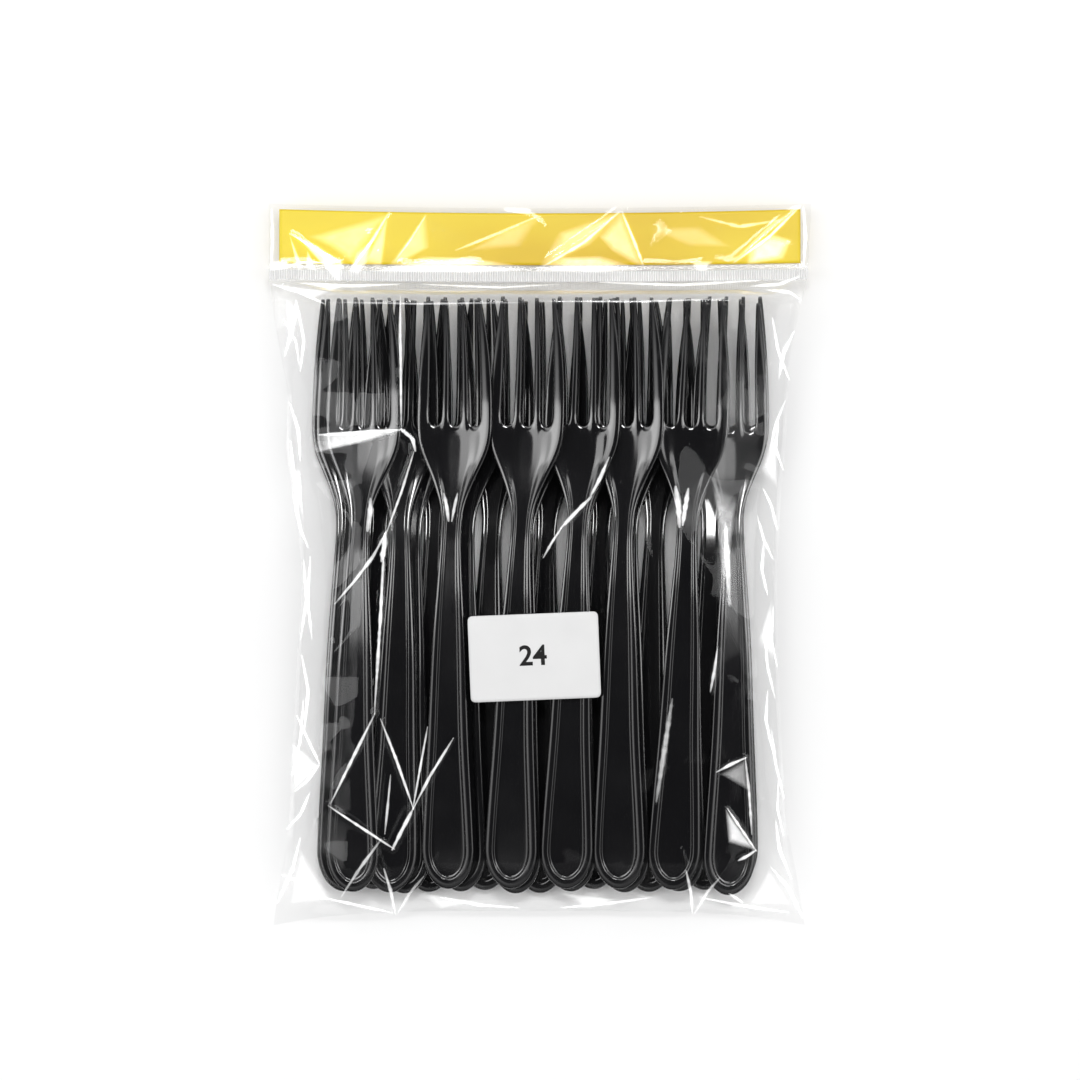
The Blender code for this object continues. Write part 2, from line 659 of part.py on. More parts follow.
def bag_bmesh(pile_points):
    """The bag as one folded and welded film, and the outside of its front wall."""
    body = body_levels()
    fold_y = -HALF_LENGTH
    front_levels = body + [fold_y]
    mouth, fold = len(body) - 1, len(body)
    everywhere = range(COLUMNS)
    inside = drape(front_levels, pile_points)
    outside = outside_of(inside, front_levels)
    back = grid_of(body, everywhere, lambda x, y, c: back_height(x, y))
    for (row, column), p in back.items():
        if column in (0, 1, LAST - 1, LAST):
            p.z = seam_height(body[row]) - SKIN
        elif row == 0:
            p.z = seam_height(body[0]) - SKIN
    back_inside = {key: p + FILM * UP for key, p in back.items() if key[1] in POCKET}
    for column in (0, LAST):
        for row in (mouth, fold):
            inside[row, column] = outside[row, column] - FILM * UP
    for column in everywhere:
        inside[fold, column].y += FILM
    flap_levels = [y for y in body if y < flap_end()] + [fold_y]
    flap_levels = [flap_end()] + flap_levels
    first = len(body) - (len(flap_levels) - 2)
    flap_fold = len(flap_levels) - 1

    flap = {}
    for row, y in enumerate(flap_levels):
        for column in everywhere:
            x = across(y, column)
            over = mouth if row == flap_fold else first + row - 1
            top = back[over, column].z - FLAP_STACK
            flap[row, column] = Vector((x, bowed(x, y), top - FILM))
    flap_inside = {key: p + FILM * UP for key, p in flap.items()}
    for column in everywhere:
        flap_inside[flap_fold, column].y += FILM

    def header(side, room):
        def height(x, y, column):
            held = y == SEAL_TOP or column in (1, LAST - 1)
            return seam_height(y) + side * (room(held))
        return height

    wide = grid_of(HEADER_LEVELS, everywhere, header(1, lambda held: 0.0))
    inner_room = grid_of(HEADER_LEVELS, POCKET, header(1, lambda h: FUSED / 2 if h else STRIP_ROOM))
    room = {key: FUSED / 2 if key not in inner_room else inner_room[key].z - wide[key].z
            for key in wide}
    made = Sheets()
    front_out = made.add(outside)
    front_in = made.add(inside)
    back_out = made.add(back)
    back_in = made.add(back_inside)
    flap_out = made.add(flap)
    flap_in = made.add(flap_inside)
    head_front = made.add({k: p + (room[k] + FILM) * UP for k, p in wide.items()})
    head_back = made.add({k: p - (room[k] + FILM) * UP for k, p in wide.items()})
    head_front_in = made.add({k: wide[k] + room[k] * UP for k in inner_room})
    head_back_in = made.add({k: wide[k] - room[k] * UP for k in inner_room})

    full, pocket = range(LAST), range(1, LAST - 1)
    edges = (0, LAST - 1)
    head_rows = range(len(HEADER_LEVELS) - 1)
    top_row = len(HEADER_LEVELS) - 1
    made.cells(front_out, range(fold), full)
    made.cells(front_in, range(fold), pocket)
    made.cells(front_in, range(mouth, fold), edges)
    made.cells(back_out, range(mouth), full)
    made.cells(back_in, range(mouth), pocket)
    made.cells(flap_out, range(flap_fold), full)
    made.cells(flap_in, range(flap_fold), full)
    made.cells(head_front, head_rows, full)
    made.cells(head_back, head_rows, full)
    made.cells(head_front_in, head_rows, pocket)
    made.cells(head_back_in, head_rows, pocket)
    # The seal, the two cut edges of the header and the ends of the pockets
    made.strip(head_front, top_row, front_out, 0, full)
    made.strip(head_back, top_row, back_out, 0, full)
    made.strip(head_front_in, top_row, head_back_in, top_row, pocket)
    made.strip(front_in, 0, back_in, 0, pocket)
    made.strip(head_front, 0, head_front_in, 0, pocket)
    made.strip(head_back, 0, head_back_in, 0, pocket)
    # The end of the back wall, the fold, and the edge of the flap
    made.strip(back_in, mouth, back_out, mouth, pocket)
    made.strip(front_out, fold, flap_out, flap_fold, full)
    made.strip(front_in, fold, flap_in, flap_fold, full)
    made.strip(flap_out, 0, flap_in, 0, full)
    for weld, edge in ((1, 0), (LAST - 1, LAST)):
        made.side(front_in, back_in, weld, range(mouth))
        made.side(head_front_in, head_back_in, weld, head_rows)
        made.side(front_out, back_out, edge, range(mouth - 1))
        made.side(head_front, head_back, edge, head_rows)
        made.face(head_front[top_row, edge], front_out[0, edge], back_out[0, edge],
                  head_back[top_row, edge])
        made.face(head_front[0, edge], head_front[0, weld], head_front_in[0, weld],
                  head_back_in[0, weld], head_back[0, weld], head_back[0, edge])
        made.face(front_out[mouth - 1, edge], front_out[mouth, edge], front_in[mouth, edge],
                  back_out[mouth, edge], back_out[mouth - 1, edge])
        made.face(front_in[mouth, edge], front_in[mouth, weld], back_in[mouth, weld],
                  back_out[mouth, weld], back_out[mouth, edge])
        made.side(front_out, front_in, edge, range(mouth, fold))
        made.side(flap_out, flap_in, edge, range(flap_fold))
        made.face(front_out[fold, edge], front_in[fold, edge], flap_in[flap_fold, edge],
                  flap_out[flap_fold, edge])
    return made.finish(), outside, len(front_levels)


def strip_bmesh():
    """The strip in the header, which lies in the middle of the pocket."""
    levels = (HALF_LENGTH - STRIP_TOP_MARGIN, SEAL_TOP + STRIP_FOOT_MARGIN)
    columns = range(2, LAST - 1)
    sheet = {}
    for row, y in enumerate(levels):
        for column in columns:
            x = across(y, column)
            if column in (2, LAST - 2):
                x -= math.copysign(STRIP_MARGIN - WELD - SIDE_STEP, x)
            sheet[row, column] = Vector((x, bowed(x, y), seam_height(y) + STRIP_WALL / 2))
    return slab(sheet, range(1), range(2, LAST - 2), STRIP_WALL)


def slab(sheet, rows, columns, wall):
    """A sheet of points with a wall under it."""
    made = Sheets()
    top = made.add(sheet)
    low = made.add({key: p - wall * UP for key, p in sheet.items()})
    made.cells(top, rows, columns)
    made.cells(low, rows, columns)
    made.strip(top, rows[0], low, rows[0], columns)
    made.strip(top, rows[-1] + 1, low, rows[-1] + 1, columns)
    made.side(top, low, columns[0], rows)
    made.side(top, low, columns[-1] + 1, rows)
    return made.finish()


def tape_bmesh():
    """The strip of adhesive tape between the flap and the back wall."""
    far = flap_end() - TAPE_MARGIN
    sheet = {}
    for row, y in enumerate((far, far - TAPE_HEIGHT)):
        for column, inner in enumerate((3, LAST - 3)):
            x = across(far, inner)
            x -= math.copysign(TAPE_MARGIN, x)
            sheet[row, column] = Vector((x, y, FILM + GAP + TAPE_WALL))
    return slab(sheet, range(1), range(1), TAPE_WALL)


def label_bmesh(outside, rows):
    """The label, laid on the front wall without touching it."""
    places = {key: i for i, key in enumerate(outside)}
    skin = BVHTree.FromPolygons(
        list(outside.values()),
        [tuple(places[key] for key in triangle)
         for r in range(rows - 1) for c in range(LAST) for triangle in split_cell(r, c)],
    )
    bm = bmesh.new()
    bmesh.ops.create_grid(bm, x_segments=LABEL_CELLS[0], y_segments=LABEL_CELLS[1], size=0.5)
    turn = Matrix.Rotation(math.radians(LABEL_TURN), 4, "Z")
    for v in bm.verts:
        v.co = Vector((v.co.x * LABEL_WIDTH, v.co.y * LABEL_HEIGHT, 0.0))
    corners = [v for v in bm.verts if len(v.link_faces) == 1]
    bmesh.ops.bevel(bm, geom=corners, offset=LABEL_CORNER, segments=2, profile=0.5,
                    affect="VERTICES")
    bmesh.ops.triangulate(bm, faces=bm.faces)
    bmesh.ops.transform(bm, matrix=Matrix.Translation((*LABEL_AT, 0.0)) @ turn, verts=bm.verts)
    for v in bm.verts:
        v.co.z = skin.ray_cast(Vector((v.co.x, v.co.y, FAR)), DOWN)[0].z + GAP
    felt = []
    for face in bm.faces:
        a, b, c = (v.co for v in face.verts)
        for i in range(7):
            for j in range(7 - i):
                felt.append(a + (b - a) * i / 6 + (c - a) * j / 6)
    rise = max(
        skin.ray_cast(Vector((p.x, p.y, FAR)), DOWN)[0].z + GAP - p.z for p in felt
    )
    made = bmesh.ops.extrude_face_region(bm, geom=list(bm.faces))["geom"]
    bmesh.ops.translate(bm, verts=[g for g in made if isinstance(g, bmesh.types.BMVert)],
                        vec=(0, 0, LABEL_WALL))
    bmesh.ops.translate(bm, verts=bm.verts, vec=(0, 0, rise))
    bmesh.ops.recalc_face_normals(bm, faces=bm.faces)
    return bm


# Objects

def material(name, color, roughness, alpha=1.0):
    made = bpy.data.materials.new(name)
    made.use_nodes = True
    shader = made.node_tree.nodes["Principled BSDF"]
    shader.inputs["Base Color"].default_value = (*color, 1.0)
    shader.inputs["Roughness"].default_value = roughness
    shader.inputs["Metallic"].default_value = 0.0
    shader.inputs["Alpha"].default_value = alpha
    made.diffuse_color = (*color, alpha)
    return made


def mesh_of(name, bm, look):
    mesh = bpy.data.meshes.new(name)
    bmesh.ops.scale(bm, vec=(MM, MM, MM), verts=bm.verts)
    bm.to_mesh(mesh)
    bm.free()
    mesh.materials.append(look)
    return mesh


def place_object(name, mesh):
    made = bpy.data.objects.new(name, mesh)
    bpy.context.scene.collection.objects.link(made)
    return made


def build():
    clear_scene()
    fork = fork_mesh()
    places, pile_points = lay_forks(fork)
    bag, outside, rows = bag_bmesh(pile_points)
    film = material("clear film", (0.86, 0.88, 0.88), 0.12, 0.35)
    place_object("bag", mesh_of("bag", bag, film))
    card = material("yellow card", (0.9, 0.68, 0.05), 0.45)
    place_object("header_strip", mesh_of("header_strip", strip_bmesh(), card))
    paper = material("white paper", (0.85, 0.85, 0.85), 0.55)
    place_object("label", mesh_of("label", label_bmesh(outside, rows), paper))
    tape = material("clear tape", (0.8, 0.82, 0.82), 0.2)
    place_object("closure_tape", mesh_of("closure_tape", tape_bmesh(), tape))
    black = material("black plastic", (0.012, 0.012, 0.013), 0.14)
    shared = mesh_of("fork", fork, black)
    for number, place in enumerate(places, start=1):
        made = place_object(f"fork_{number:02d}", shared)
        placed = place.copy()
        placed.translation *= MM
        made.matrix_world = placed


if __name__ == "__main__":
    build()
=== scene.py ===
import math
import random

import bmesh
import bpy
import numpy as np
from mathutils import Matrix, Vector
from mathutils.bvhtree import BVHTree
from mathutils.geometry import delaunay_2d_cdt


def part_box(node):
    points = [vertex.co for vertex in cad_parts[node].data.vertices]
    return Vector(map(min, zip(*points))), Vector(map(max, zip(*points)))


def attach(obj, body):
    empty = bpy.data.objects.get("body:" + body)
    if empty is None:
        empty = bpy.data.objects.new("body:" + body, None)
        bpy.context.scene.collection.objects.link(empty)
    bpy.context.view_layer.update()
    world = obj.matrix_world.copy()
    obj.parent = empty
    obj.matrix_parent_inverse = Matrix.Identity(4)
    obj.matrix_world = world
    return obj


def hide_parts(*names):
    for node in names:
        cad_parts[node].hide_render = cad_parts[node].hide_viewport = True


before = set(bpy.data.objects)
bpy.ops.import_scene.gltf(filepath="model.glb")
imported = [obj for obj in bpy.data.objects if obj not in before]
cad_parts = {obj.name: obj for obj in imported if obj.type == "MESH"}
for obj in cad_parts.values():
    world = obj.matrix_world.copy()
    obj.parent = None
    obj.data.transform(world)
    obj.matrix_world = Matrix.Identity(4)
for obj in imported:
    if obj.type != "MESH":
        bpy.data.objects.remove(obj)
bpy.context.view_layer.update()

# Sizes are in millimetres, as in the part
MM = 0.001
DOWN = Vector((0.0, 0.0, -1.0))
UP = Vector((0.0, 0.0, 1.0))
# How far off the rays start that feel for a surface
FAR = 500.0

# The picture is this many pixels wide and high, a pixel is this many millimetres, and the
# middle of the bag is at this pixel
PICTURE = 1080
PIXEL = 0.3
BAG_PIXEL = (540, 565.5)

# Fork
FORKS = 24
FORK_LENGTH = 178.0
HEAD_WIDTH = 22.6
NECK_WIDTH = 6.0
GRIP_WIDTH = 15.8
NECK_AT = 107.0
END_LENGTH = 12.0
TINE_LENGTH = 39.0
TINE_WIDTH = 2.0
TINE_TIP_WIDTH = 1.1
SLOT_WIDTH = 4.0
TIP_SPREAD = 16.4
FORK_WALL = 1.2
RIM_WIDTH = 2.2
END_RIM_WIDTH = 3.0
PANEL_DROP = 0.9
STEP_RUN = 0.6
DISH_DEPTH = 1.1
ARCH_HEIGHT = 5.0
TIP_HEIGHT = 5.0

# Bag, strip and label
BAG_WIDTH = 163.2
SEAL_HEIGHT = 4.0
HEADER_HEIGHT = 19.4
SPARE_LENGTH = 16.2
BAG_LENGTH = FORK_LENGTH + SPARE_LENGTH + SEAL_HEIGHT + HEADER_HEIGHT
BOTTOM_ARCH = 4.8
TOP_SAG = 1.4
LABEL_WIDTH = 39.0
LABEL_HEIGHT = 25.8
LABEL_CORNER = 1.4
LABEL_AT = (-1.7, -27.3)
LABEL_TURN = 2.3
LABEL_WALL = 0.1
LABEL_LIFT = 0.25
LABEL_AVERAGED = 6
NUMBER = "24"
NUMBER_AT = (533, 656)
NUMBER_SIZE = 8.4
NUMBER_WEIGHT = 0.16
NUMBER_LIFT = 0.03
NUMBER_EDGE = 1.0
STRIP_TOP_MARGIN = 1.6
STRIP_FOOT_MARGIN = 1.5
STRIP_WALL = 0.28
HALF_LENGTH = BAG_LENGTH / 2
SEAL_TOP = HALF_LENGTH - HEADER_HEIGHT
SEAL_BOTTOM = SEAL_TOP - SEAL_HEIGHT
LEFT_EDGE = (
    (-1.0, -80.4), (-0.855, -77.8), (-0.735, -75.6), (-0.515, -74.4), (-0.257, -73.0),
    (-0.046, -71.5), (0.138, -73.0), (0.312, -76.4), (0.478, -75.8), (0.662, -79.6),
    (0.8, -81.5), (1.0, -81.6),
)
RIGHT_EDGE = (
    (-1.0, 79.8), (-0.855, 77.0), (-0.699, 73.8), (-0.515, 72.8), (-0.257, 71.6),
    (-0.046, 71.2), (0.184, 72.4), (0.368, 74.2), (0.57, 75.0), (0.699, 77.8), (0.8, 80.4),
    (1.0, 81.6),
)

# Columns and rows of the grids
FRONT_GRID = (205, 272)
BACK_GRID = (83, 110)
STRIP_GRID = (160, 20)
LABEL_GRID = (40, 27)
TAPE_GRID = (60, 8)
# How high the waves in the strip and in the tape are
STRIP_WAVE = 0.05
TAPE_WAVE = 0.02

# How far over the film the painted fold highlights lie, the steps along a highlight and their least
# number, its width and whiteness at its ends, how wide its white core is, between which shares its
# width and whiteness vary, and its longest edge
GLINT_LIFT = 0.08
GLINT_STEP = 1.1
GLINT_FEWEST = 6
GLINT_END = 0.25
GLINT_CORE = 0.4
GLINT_WIDTHS = (0.75, 1.2)
GLINT_SHINES = (0.75, 1.1)
GLINT_EDGE = 1.3
# For the middle and two rings of a painted highlight facet: the share of the way out, and the
# whiteness
GLINT_PATCH_RINGS = ((0.0, 0.9), (0.55, 0.85), (1.1, 0.0))

# Light all round, and for reflections a ring whose strength is given by height
EVEN_STRENGTH = 0.62
RING_STRENGTH = 2.4
RING = ((0.3, 0.16), (0.5, 0.35), (0.62, 0.95), (0.8, 1.0), (0.88, 0.02))

# Camera, in metres, with its sensor in millimetres
CAMERA_HEIGHT = 2.5
SIGHT_HEIGHT = 0.012
SENSOR = 36.0


def smooth(t):
    """Goes softly from 0 to 1."""
    t = min(max(t, 0.0), 1.0)
    return t * t * (3 - 2 * t)


def curve_through(knots):
    """A smooth function through (place, value) knots; a third number fixes the slope there."""
    at = [k[0] for k in knots]
    value = [k[1] for k in knots]
    chords = [(value[i + 1] - value[i]) / (at[i + 1] - at[i]) for i in range(len(at) - 1)]
    slope = []
    for i, knot in enumerate(knots):
        near = chords[max(i - 1, 0):i + 1]
        turning = len(near) == 2 and near[0] * near[1] <= 0
        slope.append(knot[2] if len(knot) > 2 else 0.0 if turning else sum(near) / len(near))

    def curve(y):
        y = min(max(y, at[0]), at[-1])
        i = min(max(int(np.searchsorted(at, y)) - 1, 0), len(at) - 2)
        span = at[i + 1] - at[i]
        t = (y - at[i]) / span
        return (
            value[i] * (1 + 2 * t) * (1 - t) ** 2
            + value[i + 1] * t * t * (3 - 2 * t)
            + slope[i] * span * t * (1 - t) ** 2
            - slope[i + 1] * span * t * t * (1 - t)
        )

    return curve


# Outline and side view of a fork

ROOT_AT = FORK_LENGTH - TINE_LENGTH
SLOT_SHOULDER_AT = ROOT_AT + SLOT_WIDTH / 2
HALF_GRIP = GRIP_WIDTH / 2
HALF_NECK = NECK_WIDTH / 2
HALF_HEAD = HEAD_WIDTH / 2
SHOULDER = SLOT_SHOULDER_AT - NECK_AT

half_width = curve_through((
    (END_LENGTH, HALF_GRIP, -0.03),
    (0.42 * NECK_AT, 0.79 * HALF_GRIP),
    (0.7 * NECK_AT, 0.63 * HALF_GRIP),
    (NECK_AT - 11, HALF_NECK + 0.6),
    (NECK_AT, HALF_NECK, 0.0),
    (NECK_AT + 0.24 * SHOULDER, HALF_NECK + 0.07 * (HALF_HEAD - HALF_NECK)),
    (NECK_AT + 0.47 * SHOULDER, HALF_NECK + 0.4 * (HALF_HEAD - HALF_NECK)),
    (NECK_AT + 0.76 * SHOULDER, HALF_NECK + 0.91 * (HALF_HEAD - HALF_NECK)),
    (SLOT_SHOULDER_AT, HALF_HEAD, 0.0),
))

rim_height = curve_through((
    (0.0, 0.0, 0.13),
    (0.44 * FORK_LENGTH, ARCH_HEIGHT, 0.0),
    (NECK_AT - 4, ARCH_HEIGHT - 0.7),
    (NECK_AT + 9, ARCH_HEIGHT - 3.0),
    (ROOT_AT - 9, 0.5),
    (ROOT_AT + 7, 0.0, 0.0),
    (FORK_LENGTH, TIP_HEIGHT, 0.32),
))

# Eight lines run the length of the fork. Along the handle they are the outline, the inside
# of the rim and the edge of the sunk panel, and the middle pair isn't needed. In the head
# they are the sides of the four tines.
SLOTS = (1, 3, 5)
LAST_LINE = SLOTS[-1] + 2
HANDLE_ROWS = (14.0, 0.4 * NECK_AT, 0.75 * NECK_AT, NECK_AT - 4)
HEAD_ROWS = (NECK_AT + 7, ROOT_AT - 19, ROOT_AT - 11)
TINE_SHARES = (0.42, 0.78, 1.0)


def mirrored(row):
    """Adds the other half of a row, whose lines 0 to 3 are given as x, y and z."""
    full = dict(row)
    for line, (x, y, z) in row.items():
        full[line] = (-x, y, z)
        full[LAST_LINE - line] = (x, y, z)
    return full


def dish(x):
    """How much lower the palm is across the head."""
    return -DISH_DEPTH * (1 - (x / HALF_HEAD) ** 2)


def lengthwise_row(y):
    """A row across the handle or the palm."""
    half = half_width(y)
    rim = min(RIM_WIDTH, 0.36 * half)
    step = min(STEP_RUN, 0.12 * half)
    handle = (half, half - rim, half - rim - step, 0.4 * (half - rim - step))
    root = (HALF_HEAD, 1.5 * SLOT_WIDTH + TINE_WIDTH, SLOT_WIDTH / 2 + TINE_WIDTH, SLOT_WIDTH / 2)
    share = smooth((y - NECK_AT - 2) / (SLOT_SHOULDER_AT - NECK_AT - 2))
    drops = (0.0, 0.0, PANEL_DROP, PANEL_DROP)
    row = {}
    for line in range(4):
        x = half * ((1 - share) * handle[line] / half + share * root[line] / HALF_HEAD)
        z = rim_height(y) - (1 - share) * drops[line] + share * dish(x)
        row[line] = (x, y, z)
    if y < NECK_AT:
        del row[3]
    return mirrored(row)


def end_rows():
    """The rows that go round the rounded end of the handle."""
    outer = (HALF_GRIP, END_LENGTH)
    inside = (HALF_GRIP - RIM_WIDTH, END_LENGTH - END_RIM_WIDTH)
    panel = (inside[0] - STEP_RUN, inside[1] - STEP_RUN)
    plans = (
        (((outer, 56), (outer, 38), (outer, 18)), (0, 0, 0)),
        (((outer, 70), (inside, 48), (inside, 17)), (0, 0, 0)),
        (((outer, 83), (inside, 73), (panel, 24)), (0, 0, PANEL_DROP)),
    )
    rows = []
    for places, drops in plans:
        row = {}
        for line, (((across, along), degrees), drop) in enumerate(zip(places, drops)):
            turn = math.radians(degrees)
            y = END_LENGTH - along * math.cos(turn)
            row[line] = (across * math.sin(turn), y, rim_height(y) - drop)
        rows.append(mirrored(row))
    return rows


def tine_row(share):
    """The sides of the tines, a share of the way from the slots' shoulders to the tips."""
    y = SLOT_SHOULDER_AT + share * (FORK_LENGTH - SLOT_SHOULDER_AT)
    width = TINE_WIDTH + (TINE_TIP_WIDTH - TINE_WIDTH) * share ** 3
    pitch = (TIP_SPREAD - TINE_TIP_WIDTH) / 3
    root = (SLOT_WIDTH + TINE_WIDTH) / 2
    inner = root + (pitch / 2 - root) * share
    outer_root = 3 * root - TINE_WIDTH / 2
    outer_tip = 1.5 * pitch - TINE_TIP_WIDTH / 2
    outer_inside = outer_root + (outer_tip - outer_root) * share
    outer_edge = HALF_HEAD + (outer_tip + TINE_TIP_WIDTH - HALF_HEAD) * share ** 2.2
    offsets = (outer_edge, outer_inside, inner + width / 2, inner - width / 2)
    z = rim_height(y)
    return mirrored({
        line: (x, y, z + (1 - share) * dish(x)) for line, x in enumerate(offsets)
    })


def shoulder_row():
    """The row where the slots begin, with the points of each slot's rounded root added."""
    row = lengthwise_row(SLOT_SHOULDER_AT)
    for slot in SLOTS:
        a, b = row[slot], row[slot + 1]
        for share in (0.24, 0.76):
            x = a[0] + share * (b[0] - a[0])
            row[slot + share] = (x, ROOT_AT, rim_height(ROOT_AT) + dish(x))
    return row


# Meshes

def fresh(name, add, **sizes):
    """A new primitive, alone in the selection."""
    bpy.ops.object.select_all(action="DESELECT")
    add(**sizes)
    made = bpy.context.object
    made.name = name
    made.data.name = name
    return made


def grid_object(name, columns, rows):
    """A grid primitive, with its vertices in rows from the first to the last."""
    made = fresh(name, bpy.ops.mesh.primitive_grid_add, x_subdivisions=columns - 1,
                 y_subdivisions=rows - 1, size=1.0)
    order = sorted(range(columns * rows),
                   key=lambda i: (round(made.data.vertices[i].co.y, 5), made.data.vertices[i].co.x))
    return made, np.array(order).reshape(rows, columns)


def set_points(obj, order, points):
    """Moves the vertices of a grid to the given places."""
    flat = np.zeros((len(obj.data.vertices), 3), np.float32)
    flat[order.ravel()] = points.reshape(-1, 3) * MM
    obj.data.vertices.foreach_set("co", flat.ravel())
    obj.data.update()


def sheet(name, grid, points):
    """A grid primitive that is shaped to the given points."""
    made, order = grid_object(name, *grid)
    set_points(made, order, points)
    return made


def points_of(grid, place):
    """Points that a function gives from the shares of the way across and up."""
    columns, rows = grid
    return np.array([[place(u, v) for u in np.linspace(0, 1, columns)]
                     for v in np.linspace(0, 1, rows)], dtype=float)


def apply_all(obj):
    """Applies every modifier of an object."""
    bpy.ops.object.select_all(action="DESELECT")
    obj.select_set(True)
    bpy.context.view_layer.objects.active = obj
    for modifier in list(obj.modifiers):
        bpy.ops.object.modifier_apply(modifier=modifier.name)


def shade(obj):
    """Smooth shading on every face."""
    for face in obj.data.polygons:
        face.use_smooth = True


def surface_of(obj):
    """The surface of an object in millimetres, for rays to feel."""
    return BVHTree.FromPolygons([v.co / MM for v in obj.data.vertices],
                                [tuple(p.vertices) for p in obj.data.polygons])


def keep(obj, slot, *nodes):
    """Makes an object a piece of the pack, in the place of the given parts."""
    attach(obj, "root")
    if nodes:
        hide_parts(*nodes)


# Fine forks

# How far in from its edges a rim or a tine is rounded, at most this share of its width, and
# how much lower its edges are. The inside of the rim and the slots' roots are less low.
CROWN_RUN = 0.75
CROWN_SHARE = 0.32
CROWN_DROP = 0.32
RIM_INSIDE = 0.25
ROOT = 0.7


def coarse_points():
    """The corners of the part's fork, by which each fork in the part is found."""
    rows = end_rows() + [lengthwise_row(y) for y in HANDLE_ROWS + HEAD_ROWS]
    rows.append(shoulder_row())
    rows += [tine_row(share) for share in TINE_SHARES]
    top = np.array([at for row in rows for at in row.values()])
    return np.concatenate((top, top - (0, 0, FORK_WALL)))


def axes_of(points):
    """Centre and main directions of a fork's corners, end to tips, across and upward."""
    unique = np.unique(np.round(points, 3), axis=0)
    centre = unique.mean(axis=0)
    moved = unique - centre
    values, vectors = np.linalg.eigh(moved.T @ moved)
    along, across_it = vectors[:, 2], vectors[:, 1]
    if along[1] < 0:
        along = -along
    if across_it[0] < 0:
        across_it = -across_it
    up = np.cross(across_it, along)
    return centre, np.column_stack((across_it, along, up))


# Lines along the fine fork: each tine's two sides with two lines in between, and across
# each slot enough lines for its rounded root
TINES = (0, 2, 4, 6)
NEAR_SIDE, FAR_SIDE = 0.3, 0.7
SLOT_STEPS = 4
FINE_LINES = sorted(
    [tine + share for tine in TINES for share in (0, NEAR_SIDE, FAR_SIDE, 1)]
    + [slot + step / SLOT_STEPS for slot in SLOTS for step in range(1, SLOT_STEPS)]
)


def point_on(row, line):
    """A point of a row at any line, straight between the lines that the row has."""
    keys = sorted(row)
    below = max(k for k in keys if k <= line)
    above = min(k for k in keys if k >= line)
    if below == above:
        return np.array(row[below])
    share = (line - below) / (above - below)
    return (1 - share) * np.array(row[below]) + share * np.array(row[above])


def crowned(row, crowns):
    """A row of the fine fork: its edges are let down, and two lines inside them keep their height."""
    points = {line: point_on(row, line) for line in FINE_LINES}
    for a, drop_a, drop_b in crowns:
        side_a, side_b = points[a].copy(), points[a + 1].copy()
        width = max(float(np.hypot(*(side_b - side_a)[:2])), 0.1)
        inset = min(CROWN_RUN / width, CROWN_SHARE)
        points[a + NEAR_SIDE] = side_a + inset * (side_b - side_a)
        points[a + FAR_SIDE] = side_b + inset * (side_a - side_b)
        points[a] = side_a - (0, 0, drop_a * CROWN_DROP)
        points[a + 1] = side_b - (0, 0, drop_b * CROWN_DROP)
    return [points[line] for line in FINE_LINES]


# The rows round the end of the handle. For the lines 0, 0.3, 0.7, 1 and 2: how far inward,
# where 0 is the outer edge, 1 the inner edge of the rim and 2 the panel, and the degrees from
# the middle of the end. The last two rows go straight across the panel.
END_LINES = (0, NEAR_SIDE, FAR_SIDE, 1, 2)
END_PLAN = (
    ((0, 58), (0, 54), (0, 50), (0, 47), (0, 39)),
    ((0, 64), (0.32, 59), (0.32, 53), (0.32, 49), (0.32, 40)),
    ((0, 69), (0.32, 65), (0.68, 58), (0.68, 53), (0.68, 42)),
    ((0, 74), (0.32, 71), (0.68, 65), (1, 59), (1, 45)),
    ((0, 79), (0.32, 76.5), (0.68, 71.5), (1, 67), (2, 52)),
    ((0, 85), (0.32, 83), (0.68, 79.5), (1, 76), (2, 68)),
    ((0, 90), (0.32, 89), (0.68, 87), (1, 85.5), (2, 82)),
)
STRAIGHT_ROWS = 2
MIDDLE_LINE = LAST_LINE / 2
# The rows across each part of the fine fork
HANDLE_PLACES = np.linspace(END_LENGTH + 2, NECK_AT - 1, 13)
PALM_PLACES = np.linspace(NECK_AT + 4, SLOT_SHOULDER_AT - 3.2, 9)
TINE_PLACES = (0.06, 0.22, 0.42, 0.62, 0.8, 0.94, 1.0)
# Width of the small bevel on sharp edges, and the angle from which an edge is sharp
EDGE_BEVEL = 0.12
EDGE_ANGLE = 48


def end_point(inward, degrees):
    """A point of the fine fork's end, by how far inward it is and its direction."""
    across = HALF_GRIP - min(inward, 1) * RIM_WIDTH - max(inward - 1, 0) * STEP_RUN
    along = END_LENGTH - min(inward, 1) * END_RIM_WIDTH - max(inward - 1, 0) * STEP_RUN
    turn = math.radians(degrees)
    y = END_LENGTH - along * math.cos(turn)
    drop = np.interp(inward, (0, CROWN_SHARE, 1 - CROWN_SHARE, 1, 2),
                     (CROWN_DROP, 0, 0, RIM_INSIDE * CROWN_DROP, PANEL_DROP))
    return np.array((across * math.sin(turn), y, rim_height(y) - drop))


def round_rows():
    """The rows of the fine fork that go round the end of its handle."""
    rows = []
    for number, plan in enumerate(END_PLAN):
        inward, degrees = zip(*plan)
        straight = number >= len(END_PLAN) - STRAIGHT_ROWS
        row = []
        for line in FINE_LINES:
            near = min(line, LAST_LINE - line)
            kept = min(near, END_LINES[-1]) if straight else near
            point = end_point(np.interp(kept, END_LINES, inward),
                              np.interp(kept, (*END_LINES, MIDDLE_LINE), (*degrees, 0)))
            if straight and near > END_LINES[-1]:
                point[0] *= (MIDDLE_LINE - near) / (MIDDLE_LINE - END_LINES[-1])
            point[0] *= -1 if line < MIDDLE_LINE else 1
            row.append(point)
        rows.append(row)
    return rows


